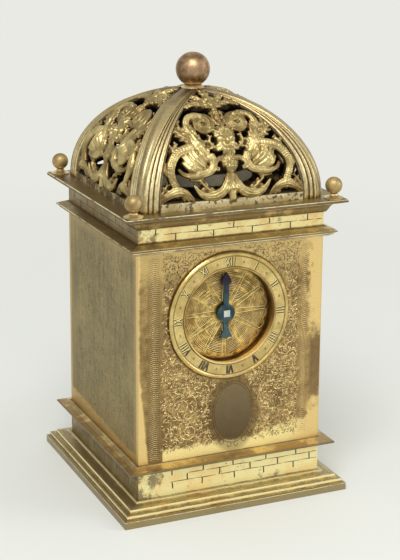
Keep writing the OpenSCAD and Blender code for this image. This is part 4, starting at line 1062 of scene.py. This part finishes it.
def melted(casting, cell):
    """The casting as one closed skin: its points, their normals, and its faces."""
    mesh = bpy.data.meshes.new("melt")
    mesh.from_pydata(casting.points, [], casting.faces)
    rough = placed("melt", mesh)
    melt = rough.modifiers.new("melt", "REMESH")
    melt.mode, melt.voxel_size = "VOXEL", cell
    even = rough.modifiers.new("even", "SMOOTH")
    even.factor, even.iterations = 0.5, 2
    done = rough.evaluated_get(bpy.context.evaluated_depsgraph_get()).to_mesh()
    points = [vert.co.copy() for vert in done.vertices]
    normals = [vert.normal.copy() for vert in done.vertices]
    faces = [tuple(face.vertices) for face in done.polygons]
    bpy.data.objects.remove(rough)
    return points, normals, faces


flat_points, flat_normals, faces = melted(panel, cell=0.21)
veins = nearest_of([(u, s) for u, s, wide in panel.veins])
points = []
for point, normal in zip(flat_points, flat_normals):
    out = point.z * (1.5 if point.z > 0 else 1.8) + noise.noise(point * 0.9) * 0.15
    number, gap = veins.find((point.x, point.y, 0))[1:]
    if normal.z > 0.2 and panel.veins[number][2] > 0.5:
        out -= vein_deep * math.exp(-(gap / vein_wide) ** 2) * normal.z
    up = dome_radius * math.sin(max(point.y, 0) / dome_radius) + 0.5 + min(point.y, 0)
    turn = math.asin(min(up, panel_radius - 0.05) / panel_radius)
    limit = rib_spread * (dome_radius * math.cos(turn) - rib_meeting) + tucked_under_rib
    sideways = point.x
    if abs(sideways) > limit:
        sideways = math.copysign(max(limit, 0.2), sideways)
        out = min(out, -0.1)
    points.append((sideways, -(panel_radius + out) * math.cos(turn),
                   spring_height + (panel_radius + out) * math.sin(turn)))
finish, shade = new_finish("panel_gilding")
patch, grain = cloudy(shade, 7, 5, 6.1), grained(shade, 0.8)
up, out = axis(shade, "Z") - spring_height, axis(shade, "Y")
height = (out * out + up * up) ** 0.5 - panel_radius + (grain - 0.5) * 0.5
# Tarnish and painted shade: brown low in the relief, nearly black at its back.
colour = layered(patch.above(0.4, 0.62).mix(paint(158, 140, 94), paint(212, 192, 136)),
                 (height.above(1.3, 0.2), paint(122, 98, 60)),
                 (height.above(0.15, -0.6), paint(50, 38, 24)))
coated(finish, colour, 0.4 + height.above(0.4, -0.5) * 0.25, 1.0 - height.above(0, -0.8) * 0.5,
       grain, 0.04)
mesh = skin("panel_front", points, faces, finish)
for turns, name in enumerate(side_names):
    piece("panel_" + name, mesh, "case", "grille_" + name, turns=turns)


# The bell, cast in bell metal with a turned grey lip, its body painted dark for its patina and
# for the shade inside the dome; and the balls: the crown's of copper gone brown, the four at the
# corners gilt on their turned collars.
bell_foot = 112.1
finish, shade = new_finish("bell_metal")
patch, grain = cloudy(shade, 7, 5, 3.3), grained(shade, 0.6)
lip = (axis(shade, "Z") - bell_foot + (grain - 0.5) * 0.4).above(4.0, 3.5)
# The dark body is painted for patina and for the shade inside the dome.
colour = layered(patch.above(0.4, 0.62).mix(paint(44, 38, 28), paint(72, 62, 46)),
                 (lip, grain.above(0.3, 0.7).mix(paint(196, 184, 150), paint(244, 232, 202))))
dress(coated(finish, colour, 0.4 + grain * 0.15, 1.0 - lip * 0.6, grain, 0.03), "bell")

for name, node, light, dark, spot, rough, metal in (
        ("copper_ball", "crown_ball", (194, 162, 126), (124, 98, 70), (62, 44, 30), 0.34, 1.0),
        ("gilt_balls", "corner_balls", (188, 162, 112), (148, 126, 84), (88, 68, 42), 0.44, 0.85)):
    finish, shade = new_finish(name)
    patch, grain = cloudy(shade, 4, 6, 3.3, 0.6), grained(shade, 0.5)
    colour = layered(patch.above(0.38, 0.64).mix(paint(*dark), paint(*light)),
                     (grain.above(0.5, 0.74) * 0.5, paint(*spot)))
    dress(coated(finish, colour, rough + grain * 0.16, metal, grain, 0.04), node)
dress(gilding("collar_gilding", paint(250, 232, 182), paint(206, 180, 130), share=0.7, dirt=0.35),
      "ball_collars", "crown_boss")
